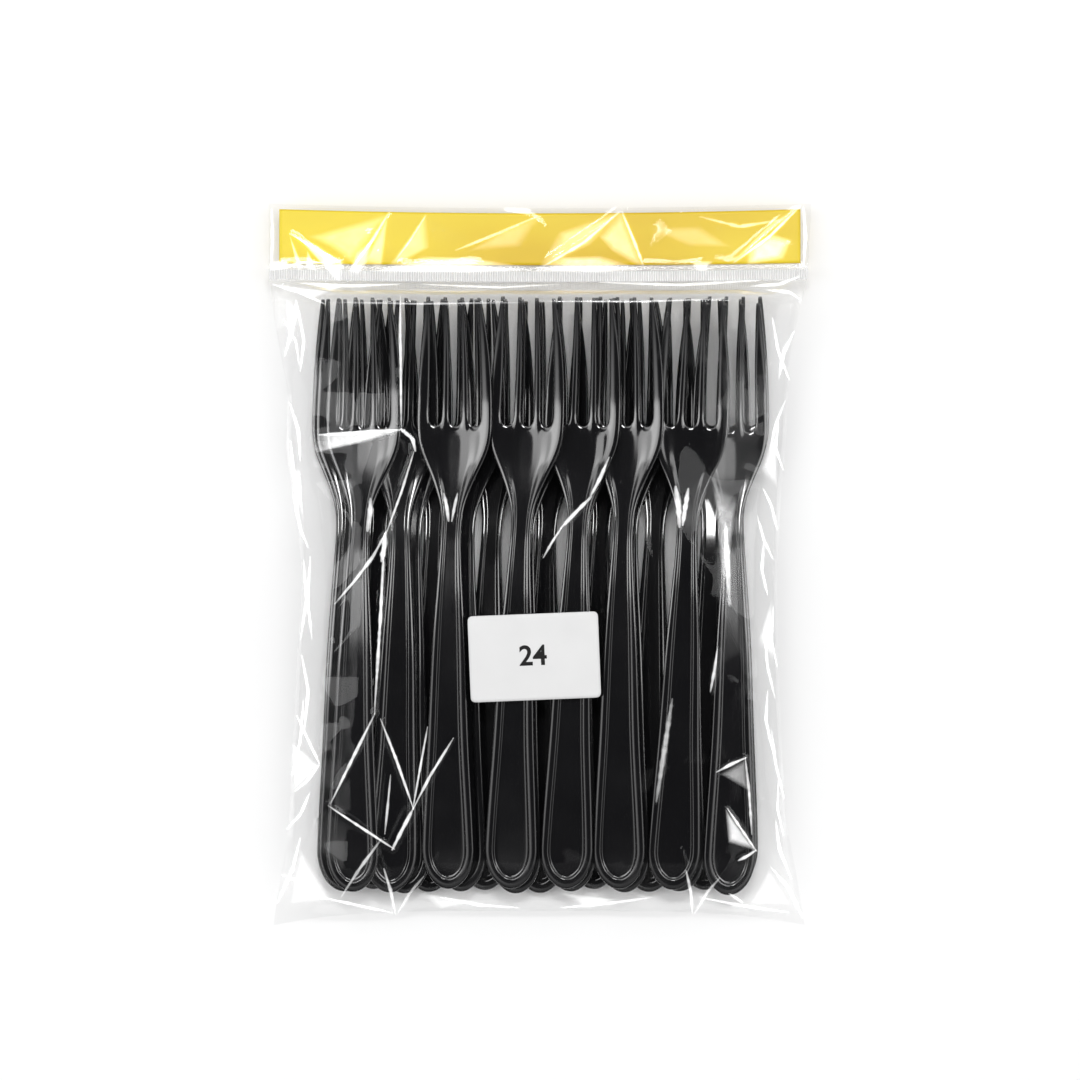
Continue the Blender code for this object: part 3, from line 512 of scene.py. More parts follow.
def fine_rows():
    """All rows of the fine fork, from the end of its handle to the tips of its tines."""
    rims = ((TINES[0], 1.0, RIM_INSIDE), (TINES[-1], RIM_INSIDE, 1.0))
    rows = round_rows()
    rows += [crowned(lengthwise_row(float(y)), rims) for y in (*HANDLE_PLACES, *PALM_PLACES)]
    roots = [(tine, ROOT, ROOT) for tine in TINES[1:-1]]
    roots += [(TINES[0], 1.0, ROOT), (TINES[-1], ROOT, 1.0)]
    shoulder = crowned(lengthwise_row(SLOT_SHOULDER_AT), roots)
    for slot in SLOTS:
        middle = (slot - SLOTS[1]) * (SLOT_WIDTH + TINE_WIDTH) / 2
        for step in range(SLOT_STEPS + 1):
            turn = math.pi * step / SLOT_STEPS
            x = middle - SLOT_WIDTH / 2 * math.cos(turn)
            y = SLOT_SHOULDER_AT - SLOT_WIDTH / 2 * math.sin(turn)
            z = rim_height(y) + dish(x) - ROOT * CROWN_DROP
            shoulder[FINE_LINES.index(slot + step / SLOT_STEPS)] = np.array((x, y, z))
    rows.append(shoulder)
    sides = [(tine, 1.0, 1.0) for tine in TINES]
    rows += [crowned(tine_row(share), sides) for share in TINE_PLACES]
    return rows


def fine_fork():
    """A fork with crowned rims and tines, shaped from a grid whose slots are cut away."""
    rows = fine_rows()
    shoulder = len(rows) - 1 - len(TINE_PLACES)
    made, order = grid_object("moulded_fork", len(FINE_LINES), len(rows))
    set_points(made, order, np.array(rows))
    place_of = {int(order[place]): place for place in np.ndindex(order.shape)}
    bpy.ops.object.mode_set(mode="EDIT")
    bpy.ops.mesh.select_mode(type="FACE")
    bpy.ops.mesh.select_all(action="DESELECT")
    bpy.ops.object.mode_set(mode="OBJECT")
    for face in made.data.polygons:
        corners = [place_of[v] for v in face.vertices]
        line = FINE_LINES[min(c for r, c in corners)]
        face.select = min(r for r, c in corners) >= shoulder and int(line) in SLOTS
    bpy.ops.object.mode_set(mode="EDIT")
    bpy.ops.mesh.delete(type="FACE")
    bpy.ops.mesh.select_all(action="SELECT")
    bpy.ops.mesh.extrude_region_move(TRANSFORM_OT_translate={"value": (0, 0, -FORK_WALL * MM)})
    bpy.ops.mesh.select_all(action="SELECT")
    bpy.ops.mesh.normals_make_consistent(inside=False)
    bpy.ops.object.mode_set(mode="OBJECT")
    bevel = made.modifiers.new("edges", "BEVEL")
    bevel.width = EDGE_BEVEL * MM
    bevel.segments = 1
    bevel.limit_method = "ANGLE"
    bevel.angle_limit = math.radians(EDGE_ANGLE)
    rounding = made.modifiers.new("rounding", "SUBSURF")
    rounding.levels = rounding.render_levels = 1
    apply_all(made)
    shade(made)
    return made


# Film surface, as heights over a fine plan grid

# How far from the foot and from the seal the bag's outline is bent
FOOT_BEND = 60
SEAL_BEND = 12
# Some points lie on the bag's edge, where a ray may miss, so it looks a little inwards
INWARDS = (1.0, 0.997, 0.99, 0.98, 0.96)
FILM_INWARDS = (1.0, 0.998, 0.99, 0.98)


def edge_at(table, y):
    """Where the side edge of the bag is at a height."""
    shares, places = zip(*table)
    return float(np.interp(y / HALF_LENGTH, shares, places))


def bowed(x, y):
    """The height of a point of the flat bag once its foot is arched and its top sags."""
    u = x / (BAG_WIDTH / 2)
    low = max(0.0, 1 - (y + HALF_LENGTH) / FOOT_BEND)
    high = max(0.0, (y - SEAL_BOTTOM + SEAL_BEND) / (HALF_LENGTH - SEAL_BOTTOM + SEAL_BEND))
    return y + BOTTOM_ARCH * low * (1 - u ** 4) - TOP_SAG * high * (1 - u * u)


def plan_grid(columns, rows):
    """The points of a film wall, seen from above."""
    points = np.zeros((rows, columns, 3))
    for r, y in enumerate(np.linspace(-HALF_LENGTH, HALF_LENGTH, rows)):
        left, right = edge_at(LEFT_EDGE, y), edge_at(RIGHT_EDGE, y)
        for c, u in enumerate(np.linspace(0, 1, columns)):
            x = left + u * (right - left)
            points[r, c] = (x, bowed(x, y), 0)
    return points


def fall_on(tree, points, front):
    """Heights of the part's film over each point, from the front or from the back."""
    heights = np.zeros(points.shape[:2])
    for place in np.ndindex(heights.shape):
        x, y = points[place][:2]
        for shrink in INWARDS:
            start = Vector((x * shrink, y * shrink, FAR if front else -FAR))
            hit = tree.ray_cast(start, DOWN if front else UP)[0]
            if hit is not None:
                heights[place] = hit.z
                break
    return heights


def blurred(heights, times):
    """Each height averaged with its neighbours, a few times over."""
    for step in range(times):
        padded = np.pad(heights, 1, mode="edge")
        heights = (padded[:-2, 1:-1] + padded[2:, 1:-1] + padded[1:-1, :-2] + padded[1:-1, 2:]
                   + 2 * heights) / 6
    return heights


def at(px, py):
    """A place on the pack from its place on the picture."""
    return (px - BAG_PIXEL[0]) * PIXEL, (BAG_PIXEL[1] - py) * PIXEL


# Creases in the film: points along each, its height and its half width in millimetres
CREASES = (
    (((401, 300), (401, 431)), 0.31, 1.6),
    (((401, 431), (413, 440), (415, 452), (387, 534), (356, 578), (335, 603)), 0.5, 1.6),
    (((319, 434), (401, 431)), 0.31, 1.8),
    (((384, 535), (375, 713)), 0.5, 1.3),
    (((375, 713), (331, 801), (300, 850)), 0.43, 1.8),
    (((382, 720), (413, 808), (393, 848), (330, 806)), 0.43, 1.8),
    (((413, 808), (427, 728)), 0.31, 1.4),
    (((413, 808), (453, 738)), 0.31, 1.6),
    (((385, 833), (391, 775)), 0.25, 1.2),
    (((382, 839), (342, 896)), 0.37, 1.8),
    (((544, 557), (561, 528), (591, 496), (609, 458)), 0.37, 1.4),
    (((717, 650), (711, 690)), 0.31, 1.2),
    (((655, 800), (672, 700)), 0.31, 1.4),
    (((718, 771), (745, 758), (752, 833)), 0.43, 1.4),
    (((726, 810), (755, 850), (739, 860)), 0.37, 1.4),
    (((730, 895), (743, 903)), 0.31, 1.0),
    (((394, 916), (388, 880), (372, 840)), 0.37, 1.6),
    (((394, 916), (420, 880), (436, 850)), 0.31, 1.6),
    (((693, 916), (690, 880), (680, 850)), 0.37, 1.6),
    (((693, 916), (716, 884), (730, 860)), 0.31, 1.6),
    (((291, 234), (342, 272)), 0.37, 1.6),
    (((388, 217), (355, 268)), 0.37, 1.6),
    (((621, 212), (540, 267)), 0.43, 1.8),
    (((621, 212), (643, 269)), 0.31, 1.6),
    (((800, 205), (733, 263)), 0.43, 1.8),
    (((388, 272), (420, 262), (535, 270)), 0.25, 1.0),
    (((280, 353), (318, 330), (352, 318)), 0.37, 1.8),
    (((284, 460), (322, 470)), 0.31, 1.8),
    (((299, 612), (330, 640)), 0.31, 1.8),
    (((296, 670), (318, 700)), 0.31, 1.8),
    (((291, 776), (330, 750)), 0.31, 1.8),
    (((789, 400), (752, 420)), 0.31, 1.8),
    (((783, 488), (748, 470)), 0.31, 1.8),
    (((777, 593), (748, 620)), 0.31, 1.8),
    (((780, 719), (752, 700)), 0.31, 1.8),
    (((787, 815), (760, 800)), 0.31, 1.8),
)


# How the height of a crease falls off from its ridge
RIDGE_POWER = 1.3


def off_line(xs, ys, a, b):
    """Distance of every point from one straight piece."""
    ax, ay = a
    dx, dy = b[0] - ax, b[1] - ay
    along = np.clip(((xs - ax) * dx + (ys - ay) * dy) / (dx * dx + dy * dy), 0, 1)
    return np.hypot(xs - ax - along * dx, ys - ay - along * dy)


def wrinkles(points):
    """Height added by the creases and by the flat facets of the film."""
    xs, ys = points[..., 0], points[..., 1]
    total = np.zeros(xs.shape)
    for places, height, half in CREASES:
        ends = [at(*p) for p in places]
        ridge = np.zeros(xs.shape)
        for a, b in zip(ends, ends[1:]):
            ridge = np.maximum(ridge, np.clip(1 - off_line(xs, ys, a, b) / half, 0, 1))
        total += height * ridge ** RIDGE_POWER
    net = crumple_tree()
    for index in np.ndindex(xs.shape):
        total[index] += net.ray_cast(Vector((xs[index], ys[index], FAR)), DOWN)[0].z
    return total


# Painted highlights along folds in the film: their course on the picture, and their width and
# whiteness
PAINTED_GLINT_LINES = (
    (((401, 296), (401, 340), (402, 431)), 3.0, 0.75),
    (((319, 435), (360, 433), (403, 430)), 5.0, 0.9),
    (((401, 429), (413, 439), (416, 452)), 5.0, 0.9),
    (((415, 450), (402, 492), (386, 536)), 3.0, 0.75),
    (((388, 530), (374, 556), (356, 580), (335, 604)), 4.0, 0.65),
    (((386, 532), (385, 546), (382, 562)), 7.0, 0.9),
    (((385, 540), (381, 620), (375, 714)), 4.0, 0.8),
    (((371, 498), (371, 512), (368, 532)), 7.0, 0.6),
    (((376, 712), (355, 754), (331, 803)), 4.0, 0.75),
    (((381, 718), (397, 760), (414, 809)), 3.5, 0.85),
    (((328, 805), (360, 826), (395, 849)), 3.5, 0.8),
    (((392, 850), (402, 830), (414, 807)), 5.0, 0.9),
    (((385, 834), (388, 806), (391, 774)), 3.0, 0.6),
    (((413, 809), (420, 770), (428, 726)), 3.0, 0.8),
    (((413, 809), (430, 776), (454, 737)), 3.5, 0.8),
    (((382, 838), (360, 868), (341, 897)), 4.0, 0.5),
    (((543, 558), (552, 542), (562, 527)), 3.5, 0.7),
    (((560, 529), (576, 512), (592, 496)), 5.0, 0.85),
    (((590, 497), (600, 478), (609, 457)), 4.0, 0.8),
    (((725, 522), (727, 560), (729, 606)), 7.0, 0.6),
    (((717, 648), (714, 670), (710, 692)), 4.0, 0.65),
    (((656, 802), (664, 750), (672, 698)), 6.0, 0.4),
    (((716, 772), (731, 764), (747, 757)), 4.0, 0.9),
    (((745, 757), (749, 790), (752, 835)), 3.5, 0.7),
    (((727, 808), (742, 830), (757, 852)), 3.0, 0.9),
    (((757, 850), (748, 856), (738, 861)), 4.0, 0.8),
    (((729, 894), (737, 899), (744, 904)), 4.0, 0.6),
    (((444, 493), (447, 506), (449, 522)), 5.0, 0.7),
    (((458, 493), (455, 506), (452, 522)), 4.0, 0.7),
    (((675, 486), (678, 506), (679, 528)), 7.0, 0.85),
    (((688, 488), (685, 506), (682, 526)), 6.0, 0.85),
    (((395, 916), (391, 892), (384, 868)), 4.0, 0.6),
    (((397, 915), (410, 893), (424, 876)), 4.0, 0.4),
    (((693, 915), (691, 892), (686, 870)), 4.0, 0.6),
    (((695, 915), (708, 892), (720, 878)), 4.0, 0.4),
    (((291, 776), (300, 740), (303, 700)), 4.0, 0.7),
    (((300, 640), (306, 600), (303, 560)), 4.0, 0.6),
    (((284, 356), (292, 330), (296, 300)), 5.0, 0.7),
    (((298, 512), (294, 480), (290, 440)), 4.0, 0.6),
    (((276, 905), (292, 870), (300, 838)), 5.0, 0.6),
    (((804, 920), (790, 890), (770, 866)), 5.0, 0.5),
    (((785, 800), (776, 764), (772, 730)), 4.0, 0.5),
    (((776, 700), (768, 668), (764, 630)), 4.0, 0.5),
    (((774, 560), (764, 540), (757, 515)), 4.0, 0.6),
    (((786, 400), (776, 424), (770, 450)), 4.0, 0.5),
    (((795, 330), (784, 352), (779, 380)), 5.0, 0.6),
    (((272, 284), (300, 292), (326, 305)), 4.0, 0.7),
    (((300, 283), (350, 286), (400, 284)), 4.0, 0.6),
    (((420, 284), (500, 288), (560, 284)), 3.0, 0.45),
    (((600, 282), (680, 285), (760, 280)), 4.0, 0.5),
    (((330, 303), (420, 305), (520, 304)), 2.5, 0.35),
    (((540, 303), (640, 303), (730, 300)), 2.5, 0.35),
    (((280, 268), (300, 262), (330, 262)), 3.0, 0.6),
    (((289, 233), (340, 262), (343, 268)), 3.0, 0.9),
    (((388, 213), (372, 240), (350, 270)), 4.0, 0.6),
    (((426, 214), (410, 240), (395, 260)), 3.0, 0.4),
    (((621, 210), (584, 242), (540, 268)), 4.0, 0.55),
    (((622, 211), (634, 240), (645, 269)), 4.0, 0.6),
    (((539, 215), (500, 232), (455, 250)), 4.0, 0.35),
    (((801, 205), (770, 236), (733, 263)), 4.0, 0.7),
    (((700, 216), (740, 226), (790, 218)), 4.0, 0.3),
    (((804, 206), (806, 236), (804, 266)), 4.0, 0.8),
    (((296, 300), (304, 340), (300, 372)), 4.0, 0.8),
    (((283, 318), (296, 342), (299, 366)), 3.0, 0.7),
    (((289, 402), (298, 430), (300, 462)), 4.0, 0.7),
    (((292, 492), (300, 530), (308, 548)), 4.0, 0.7),
    (((310, 556), (307, 600), (312, 640)), 4.0, 0.7),
    (((301, 655), (308, 690), (304, 730)), 4.0, 0.8),
    (((296, 716), (308, 740), (320, 764)), 4.0, 0.8),
    (((320, 764), (306, 782), (294, 792)), 4.0, 0.8),
    (((286, 830), (300, 815), (310, 792)), 4.0, 0.7),
    (((281, 876), (300, 882), (322, 900)), 4.0, 0.7),
    (((322, 898), (350, 904), (392, 914)), 4.0, 0.6),
    (((440, 898), (480, 906), (520, 909)), 4.0, 0.6),
    (((560, 909), (610, 904), (650, 898)), 4.0, 0.6),
    (((700, 898), (740, 906), (790, 914)), 4.0, 0.6),
    (((792, 880), (780, 850), (776, 820)), 4.0, 0.8),
    (((784, 836), (778, 810), (779, 780)), 3.0, 0.7),
    (((774, 756), (766, 720), (768, 690)), 4.0, 0.7),
    (((778, 668), (772, 640), (774, 606)), 3.0, 0.7),
    (((768, 596), (762, 570), (764, 540)), 4.0, 0.7),
    (((778, 530), (772, 506), (763, 488)), 4.0, 0.7),
    (((784, 470), (776, 448), (779, 420)), 4.0, 0.7),
    (((790, 380), (778, 350), (772, 318)), 4.0, 0.7),
    (((802, 300), (790, 292), (766, 290)), 4.0, 0.7),
    (((800, 276), (780, 284), (750, 286)), 4.0, 0.6),
    (((271, 208), (272, 236), (271, 264)), 4.0, 0.7),
)
# Painted highlights on facets between folds: their corners on the picture, and their whiteness
PAINTED_GLINT_PATCHES = (
    (((319, 434), (401, 431), (362, 443), (319, 452)), 0.75),
    (((292, 745), (319, 765), (294, 790)), 0.6),
    (((714, 488), (736, 500), (729, 560), (722, 590)), 0.35),
    (((721, 774), (745, 760), (748, 790)), 0.3),
    (((726, 810), (755, 850), (729, 842)), 0.75),
    (((290, 232), (318, 246), (343, 262), (338, 281), (322, 264), (303, 243)), 0.55),
    (((289, 234), (303, 268), (298, 270), (293, 252)), 0.4),
    (((307, 250), (317, 270), (305, 268)), 0.46),
    (((349, 271), (356, 253), (373, 238), (366, 264), (358, 273)), 0.52),
    (((388, 214), (352, 262), (330, 246), (310, 236)), 0.23),
    (((388, 214), (381, 268), (364, 262)), 0.32),
    (((425, 215), (428, 247), (416, 254), (400, 262), (388, 266)), 0.23),
    (((270, 262), (288, 258), (287, 268), (270, 270)), 0.52),
    (((374, 271), (398, 263), (423, 260), (470, 262), (531, 270), (470, 272)), 0.55),
    (((423, 256), (470, 257), (530, 267), (470, 264), (415, 264)), 0.29),
    (((535, 271), (560, 257), (600, 256), (643, 269), (600, 272)), 0.46),
    (((539, 216), (500, 232), (470, 250), (520, 246)), 0.14),
    (((621, 211), (560, 232), (539, 268), (590, 244)), 0.23),
    (((621, 211), (644, 268), (612, 250), (600, 236)), 0.29),
    (((650, 228), (700, 226), (730, 246), (690, 246)), 0.12),
    (((690, 260), (713, 261), (706, 271), (697, 270)), 0.43),
    (((800, 205), (770, 224), (732, 262), (757, 243)), 0.29),
    (((750, 248), (772, 234), (791, 240), (783, 258), (748, 264)), 0.52),
    (((278, 284), (330, 292), (312, 300)), 0.35),
    (((300, 282), (352, 285), (330, 291)), 0.4),
    (((286, 300), (300, 312), (288, 345)), 0.4),
    (((290, 470), (303, 520), (300, 470)), 0.45),
    (((772, 600), (758, 640), (774, 660)), 0.35),
    (((776, 430), (760, 470), (778, 486)), 0.35),
    (((300, 850), (330, 900), (290, 905)), 0.35),
    (((770, 870), (790, 905), (750, 905)), 0.3),
    (((560, 893), (620, 900), (590, 910)), 0.3),
    (((420, 893), (480, 902), (440, 910)), 0.3),
)
# Flat facets of crumpled film: how many points they meet at, how far those rise, how far past
# the bag they go on, and how close together they may be, where lengthwise counts for less
CRUMPLES = 330
CRUMPLE_RISE = 0.42
CRUMPLE_MARGIN = 5
CRUMPLE_GAP = 5.5
CRUMPLE_STRETCH = 0.7


def crumple_tree():
    """A net of flat triangles over the whole bag, as film has once it was folded."""
    picker = random.Random(11)
    wide, long = BAG_WIDTH / 2 + CRUMPLE_MARGIN, HALF_LENGTH + CRUMPLE_MARGIN
    places = []
    while len(places) < CRUMPLES:
        x, y = picker.uniform(-wide, wide), picker.uniform(-long, long)
        if all(math.hypot(x - a, (y - b) * CRUMPLE_STRETCH) > CRUMPLE_GAP for a, b in places):
            places.append((x, y))
    places += [(sx * BAG_WIDTH, sy * BAG_LENGTH) for sx in (-1, 1) for sy in (-1, 1)]
    flat = [Vector(p) for p in places]
    corners, edges, faces = delaunay_2d_cdt(flat, [], [], 0, 0.0001)[:3]
    raised = [(c.x, c.y, picker.uniform(-1, 1) * CRUMPLE_RISE) for c in corners]
    return BVHTree.FromPolygons(raised, faces)


# How often the heights of each wall are averaged
FRONT_AVERAGED = 10
BACK_AVERAGED = 4
# How far from its middle the seal still holds the film flat
SEAL_HOLD = 3
# The wrinkles grow over this share of the width from the sides, and over these lengths from
# the foot and from the top. At the top and on the seal this share of them is left.
SIDE_GROWTH = 1 / 30
FOOT_GROWTH = 8
TOP_GROWTH = 3
TOP_LEAST = 0.2
SEAL_LEAST = 0.15


def film_sheet(name, grid, front, tree):
    """One wall of the bag. The front one is wrinkled where no seam holds it."""
    points = plan_grid(*grid)
    heights = fall_on(tree, points, front)
    soft = blurred(heights, FRONT_AVERAGED if front else BACK_AVERAGED)
    ys = points[..., 1]
    off_seal = np.clip(np.abs(ys - (SEAL_TOP + SEAL_BOTTOM) / 2) / SEAL_HOLD - 1, 0, 1)
    points[..., 2] = heights * (1 - off_seal) + soft * off_seal
    if front:
        us = np.linspace(0, 1, grid[0])[None, :]
        free = np.clip(np.minimum(us, 1 - us) / SIDE_GROWTH, 0, 1)
        free = free * np.clip((ys + HALF_LENGTH) / FOOT_GROWTH, 0, 1)
        free = free * np.clip((HALF_LENGTH - ys) / TOP_GROWTH, TOP_LEAST, 1)
        points[..., 2] += wrinkles(points) * free * np.clip(off_seal + SEAL_LEAST, 0, 1)
    made = sheet(name, grid, points)
    shade(made)
    return made


# Materials

# The ribs of the seal: how far apart, how much lower than its middle they lie, how high they
# reach on each side, and over how much they fade
RIB_PITCH = 0.72
RIB_SHIFT = 0.6
RIB_REACH = 1.3
RIB_FADE = 0.6
# How far below the seal the film turns hazy
HAZE_REACH = 8


class Shader:
    """The nodes of a material or of the world, built step by step."""

    def __init__(self, name, world=False):
        self.owner = (bpy.data.worlds if world else bpy.data.materials).new(name)
        self.owner.use_nodes = True
        self.nodes = self.owner.node_tree.nodes
        self.links = self.owner.node_tree.links
        self.nodes.clear()
        self.out = self.nodes.new("ShaderNodeOutputWorld" if world else "ShaderNodeOutputMaterial")

    def node(self, kind, values=(), **settings):
        made = self.nodes.new("ShaderNode" + kind)
        for key, value in settings.items():
            setattr(made, key, value)
        for key, value in dict(values).items():
            if isinstance(value, bpy.types.NodeSocket):
                self.links.new(value, made.inputs[key])
            else:
                made.inputs[key].default_value = value
        return made

    def place(self):
        return self.node("TexCoord").outputs["Object"]

    def math(self, operation, a, b=0.0, c=0.0):
        return self.node("Math", {0: a, 1: b, 2: c}, operation=operation).outputs[0]

    def noise(self, scale, detail=4.0, rough=0.5, vector=None):
        return self.node("TexNoise", {"Vector": vector or self.place(), "Scale": scale,
                                      "Detail": detail, "Roughness": rough}).outputs["Fac"]

    def mix_color(self, share, a, b):
        made = self.node("Mix", {0: share, 6: a, 7: b}, data_type="RGBA")
        return made.outputs[2]

    def bump(self, height, distance, strength=1.0):
        return self.node("Bump", {"Height": height, "Distance": distance,
                                  "Strength": strength}).outputs["Normal"]

    def finish(self, shader):
        self.links.new(shader, self.out.inputs["Surface"])
        return self.owner


def black_plastic():
    """Glossy black plastic with a faint unevenness."""
    look = Shader("black plastic")
    grain = look.noise(900.0, 3.0)
    flow = look.noise(60.0, 3.0)
    rough = look.math("MULTIPLY_ADD", flow, 0.1, 0.05)
    base = look.mix_color(flow, (0.004, 0.004, 0.005, 1), (0.009, 0.009, 0.010, 1))
    shader = look.node("BsdfPrincipled", {
        "Base Color": base, "Roughness": rough, "IOR": 1.55, "Specular IOR Level": 1.0,
        "Normal": look.bump(grain, 0.00001, 0.1),
    })
    return look.finish(shader.outputs[0])


def clear_film():
    """Clear film, whitish and ribbed at the seal and hazy just below it."""
    look = Shader("clear film")
    place = look.place()
    x = look.node("SeparateXYZ", {0: place}).outputs["X"]
    y = look.node("SeparateXYZ", {0: place}).outputs["Y"]
    curve = look.math("MULTIPLY", look.math("MULTIPLY", x, x), 0.12)
    up = look.math("ADD", y, look.math("MULTIPLY", curve, -1.0))
    middle = ((SEAL_TOP + SEAL_BOTTOM) / 2 - RIB_SHIFT) * MM
    off = look.math("ABSOLUTE", look.math("SUBTRACT", up, middle))
    seal = look.node("MapRange", {0: off, 1: RIB_REACH * MM, 2: (RIB_REACH + RIB_FADE) * MM,
                                  3: 1.0, 4: 0.0}).outputs[0]
    rib = look.math("SINE", look.math("MULTIPLY", x, 2 * math.pi / (RIB_PITCH * MM)))
    worn = look.math("MULTIPLY_ADD", look.noise(420.0, 2.0), 0.9, 0.55)
    rib = look.math("MULTIPLY", look.math("MULTIPLY_ADD", rib, 0.5, 0.5), seal)
    rib = look.math("MULTIPLY", rib, worn)
    haze = look.node("MapRange", {0: up, 1: (SEAL_BOTTOM - HAZE_REACH) * MM, 2: SEAL_BOTTOM * MM,
                                  3: 0.0, 4: 1.0}).outputs[0]
    fade = look.node("MapRange", {0: up, 1: SEAL_TOP * MM, 2: (SEAL_TOP + 0.4) * MM,
                                  3: 1.0, 4: 0.0}).outputs[0]
    haze = look.math("MULTIPLY", look.math("MULTIPLY", haze, fade), 0.16)
    stretch = look.node("Mapping", {"Vector": place, "Scale": (1.0, 0.35, 1.0)}).outputs[0]
    fine = look.noise(160.0, 4.0, 0.6, stretch)
    rise = look.math("MULTIPLY", fine, 0.2)
    bump = look.bump(look.math("ADD", rise, rib), 0.0004, 0.9)
    facing = look.node("LayerWeight", {"Blend": 0.5, "Normal": bump}).outputs["Facing"]
    shine = look.math("MULTIPLY_ADD", look.math("POWER", facing, 3.0), 0.7, 0.02)
    glossy = look.node("BsdfGlossy", {"Color": (1, 1, 1, 1), "Roughness": 0.05, "Normal": bump})
    clear = look.node("BsdfTransparent", {"Color": (0.988, 0.988, 0.988, 1)})
    milk = look.node("BsdfDiffuse", {"Color": (1.0, 1.0, 1.0, 1), "Normal": bump})
    white = look.math("MULTIPLY_ADD", rib, 0.35, look.math("MULTIPLY", seal, 0.36))
    white = look.math("ADD", white, haze)
    body = look.node("MixShader", {0: shine, 1: clear.outputs[0], 2: glossy.outputs[0]})
    whole = look.node("MixShader", {0: white, 1: body.outputs[0], 2: milk.outputs[0]})
    return look.finish(whole.outputs[0])


def painted_glint_film():
    """Painted highlights of the folds: white, with a faint glow, added to what lies behind them, by
    the glint of each point.
    """
    look = Shader("painted glint film")
    share = look.node("Attribute", attribute_name="glint").outputs["Fac"]
    patch = look.noise(350.0, 3.0, 0.6)
    share = look.math("MULTIPLY", share, look.math("MULTIPLY_ADD", patch, 0.8, 0.75))
    share = look.node("Clamp", {0: share}).outputs[0]
    clear = look.node("BsdfTransparent", {"Color": (1, 1, 1, 1)})
    white = look.node("BsdfPrincipled", {"Base Color": (1, 1, 1, 1), "Roughness": 0.25,
                                         "Emission Color": (1, 1, 1, 1), "Emission Strength": 0.12})
    none = look.node("BsdfTransparent", {"Color": (0, 0, 0, 1)})
    glint = look.node("MixShader", {0: share, 1: none.outputs[0], 2: white.outputs[0]})
    whole = look.node("AddShader", {0: clear.outputs[0], 1: glint.outputs[0]})
    return look.finish(whole.outputs[0])


def yellow_card():
    """Yellow card with broad soft streaks of painted sheen, darker and lighter yellow."""
    look = Shader("yellow card")
    place = look.place()
    streak = look.node("Mapping", {"Vector": place, "Scale": (0.25, 1.0, 1.0),
                                   "Rotation": (0, 0, math.radians(12))}).outputs[0]
    sheen = look.noise(26.0, 3.0, 0.5, streak)
    sheen = look.node("MapRange", {0: sheen, 1: 0.32, 2: 0.68, 3: 0.0, 4: 1.0}).outputs[0]
    fibre = look.noise(1400.0, 3.0)
    base = look.mix_color(sheen, (0.68, 0.44, 0.002, 1), (0.87, 0.69, 0.03, 1))
    shader = look.node("BsdfPrincipled", {"Base Color": base, "Roughness": 0.4,
                                          "Normal": look.bump(fibre, 0.00004, 0.3)})
    return look.finish(shader.outputs[0])


def paper(name, low, high):
    """Dull paper or ink, cloudy between two shades."""
    look = Shader(name)
    fibre = look.noise(1600.0, 5.0)
    cloud = look.noise(90.0, 2.0)
    shader = look.node("BsdfPrincipled", {
        "Base Color": look.mix_color(cloud, low, high), "Roughness": 0.5,
        "Specular IOR Level": 0.15, "Normal": look.bump(fibre, 0.00003, 0.3),
    })
    return look.finish(shader.outputs[0])


def clear_tape():
    """Clear tape, slightly milky."""
    look = Shader("clear tape")
    cloud = look.noise(220.0, 3.0)
    share = look.math("MULTIPLY_ADD", cloud, 0.3, 0.15)
    clear = look.node("BsdfTransparent", {"Color": (0.93, 0.93, 0.92, 1)})
    milk = look.node("BsdfPrincipled", {"Base Color": (0.85, 0.85, 0.83, 1), "Roughness": 0.3})
    whole = look.node("MixShader", {0: share, 1: clear.outputs[0], 2: milk.outputs[0]})
    return look.finish(whole.outputs[0])


# The pack

def link(name, data):
    """A new object that holds the given mesh, light or camera."""
    made = bpy.data.objects.new(name, data)
    bpy.context.scene.collection.objects.link(made)
    return made


def lay_forks():
    """A fine fork in the place of each fork of the part."""
    pattern = fine_fork()
    pattern.data.materials.append(black_plastic())
    home_centre, home_axes = axes_of(coarse_points())
    for number in range(1, FORKS + 1):
        node = f"fork_{number:02d}"
        corners = np.array([v.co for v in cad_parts[node].data.vertices]) / MM
        centre, axes = axes_of(corners)
        turn = axes @ home_axes.T
        move = centre - turn @ home_centre
        place = Matrix.Translation(Vector(move) * MM) @ Matrix(turn.tolist()).to_4x4()
        mesh = pattern.data.copy()
        mesh.transform(place)
        keep(link(f"moulded_{node}", mesh), "black_plastic", node)
    bpy.data.objects.remove(pattern)


def wrap_in_film():
    """Both walls of the bag. Gives the surface of the front one."""
    look = clear_film()
    bag = surface_of(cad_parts["bag"])
    front = film_sheet("film_front", FRONT_GRID, True, bag)
    back = film_sheet("film_back", BACK_GRID, False, bag)
    front.data.materials.append(look)
    back.data.materials.append(look)
    keep(front, "clear_film", "bag")
    keep(back, "clear_film")
    return surface_of(front)


def on_skin(skin, x, y, over):
    """A place a little over the front film, or over the ground where the film has ended."""
    for shrink in FILM_INWARDS:
        hit = skin.ray_cast(Vector((x * shrink, y * shrink, FAR)), DOWN)[0]
        if hit is not None:
            return Vector((x, y, hit.z + over)) * MM
    return Vector((x, y, over)) * MM


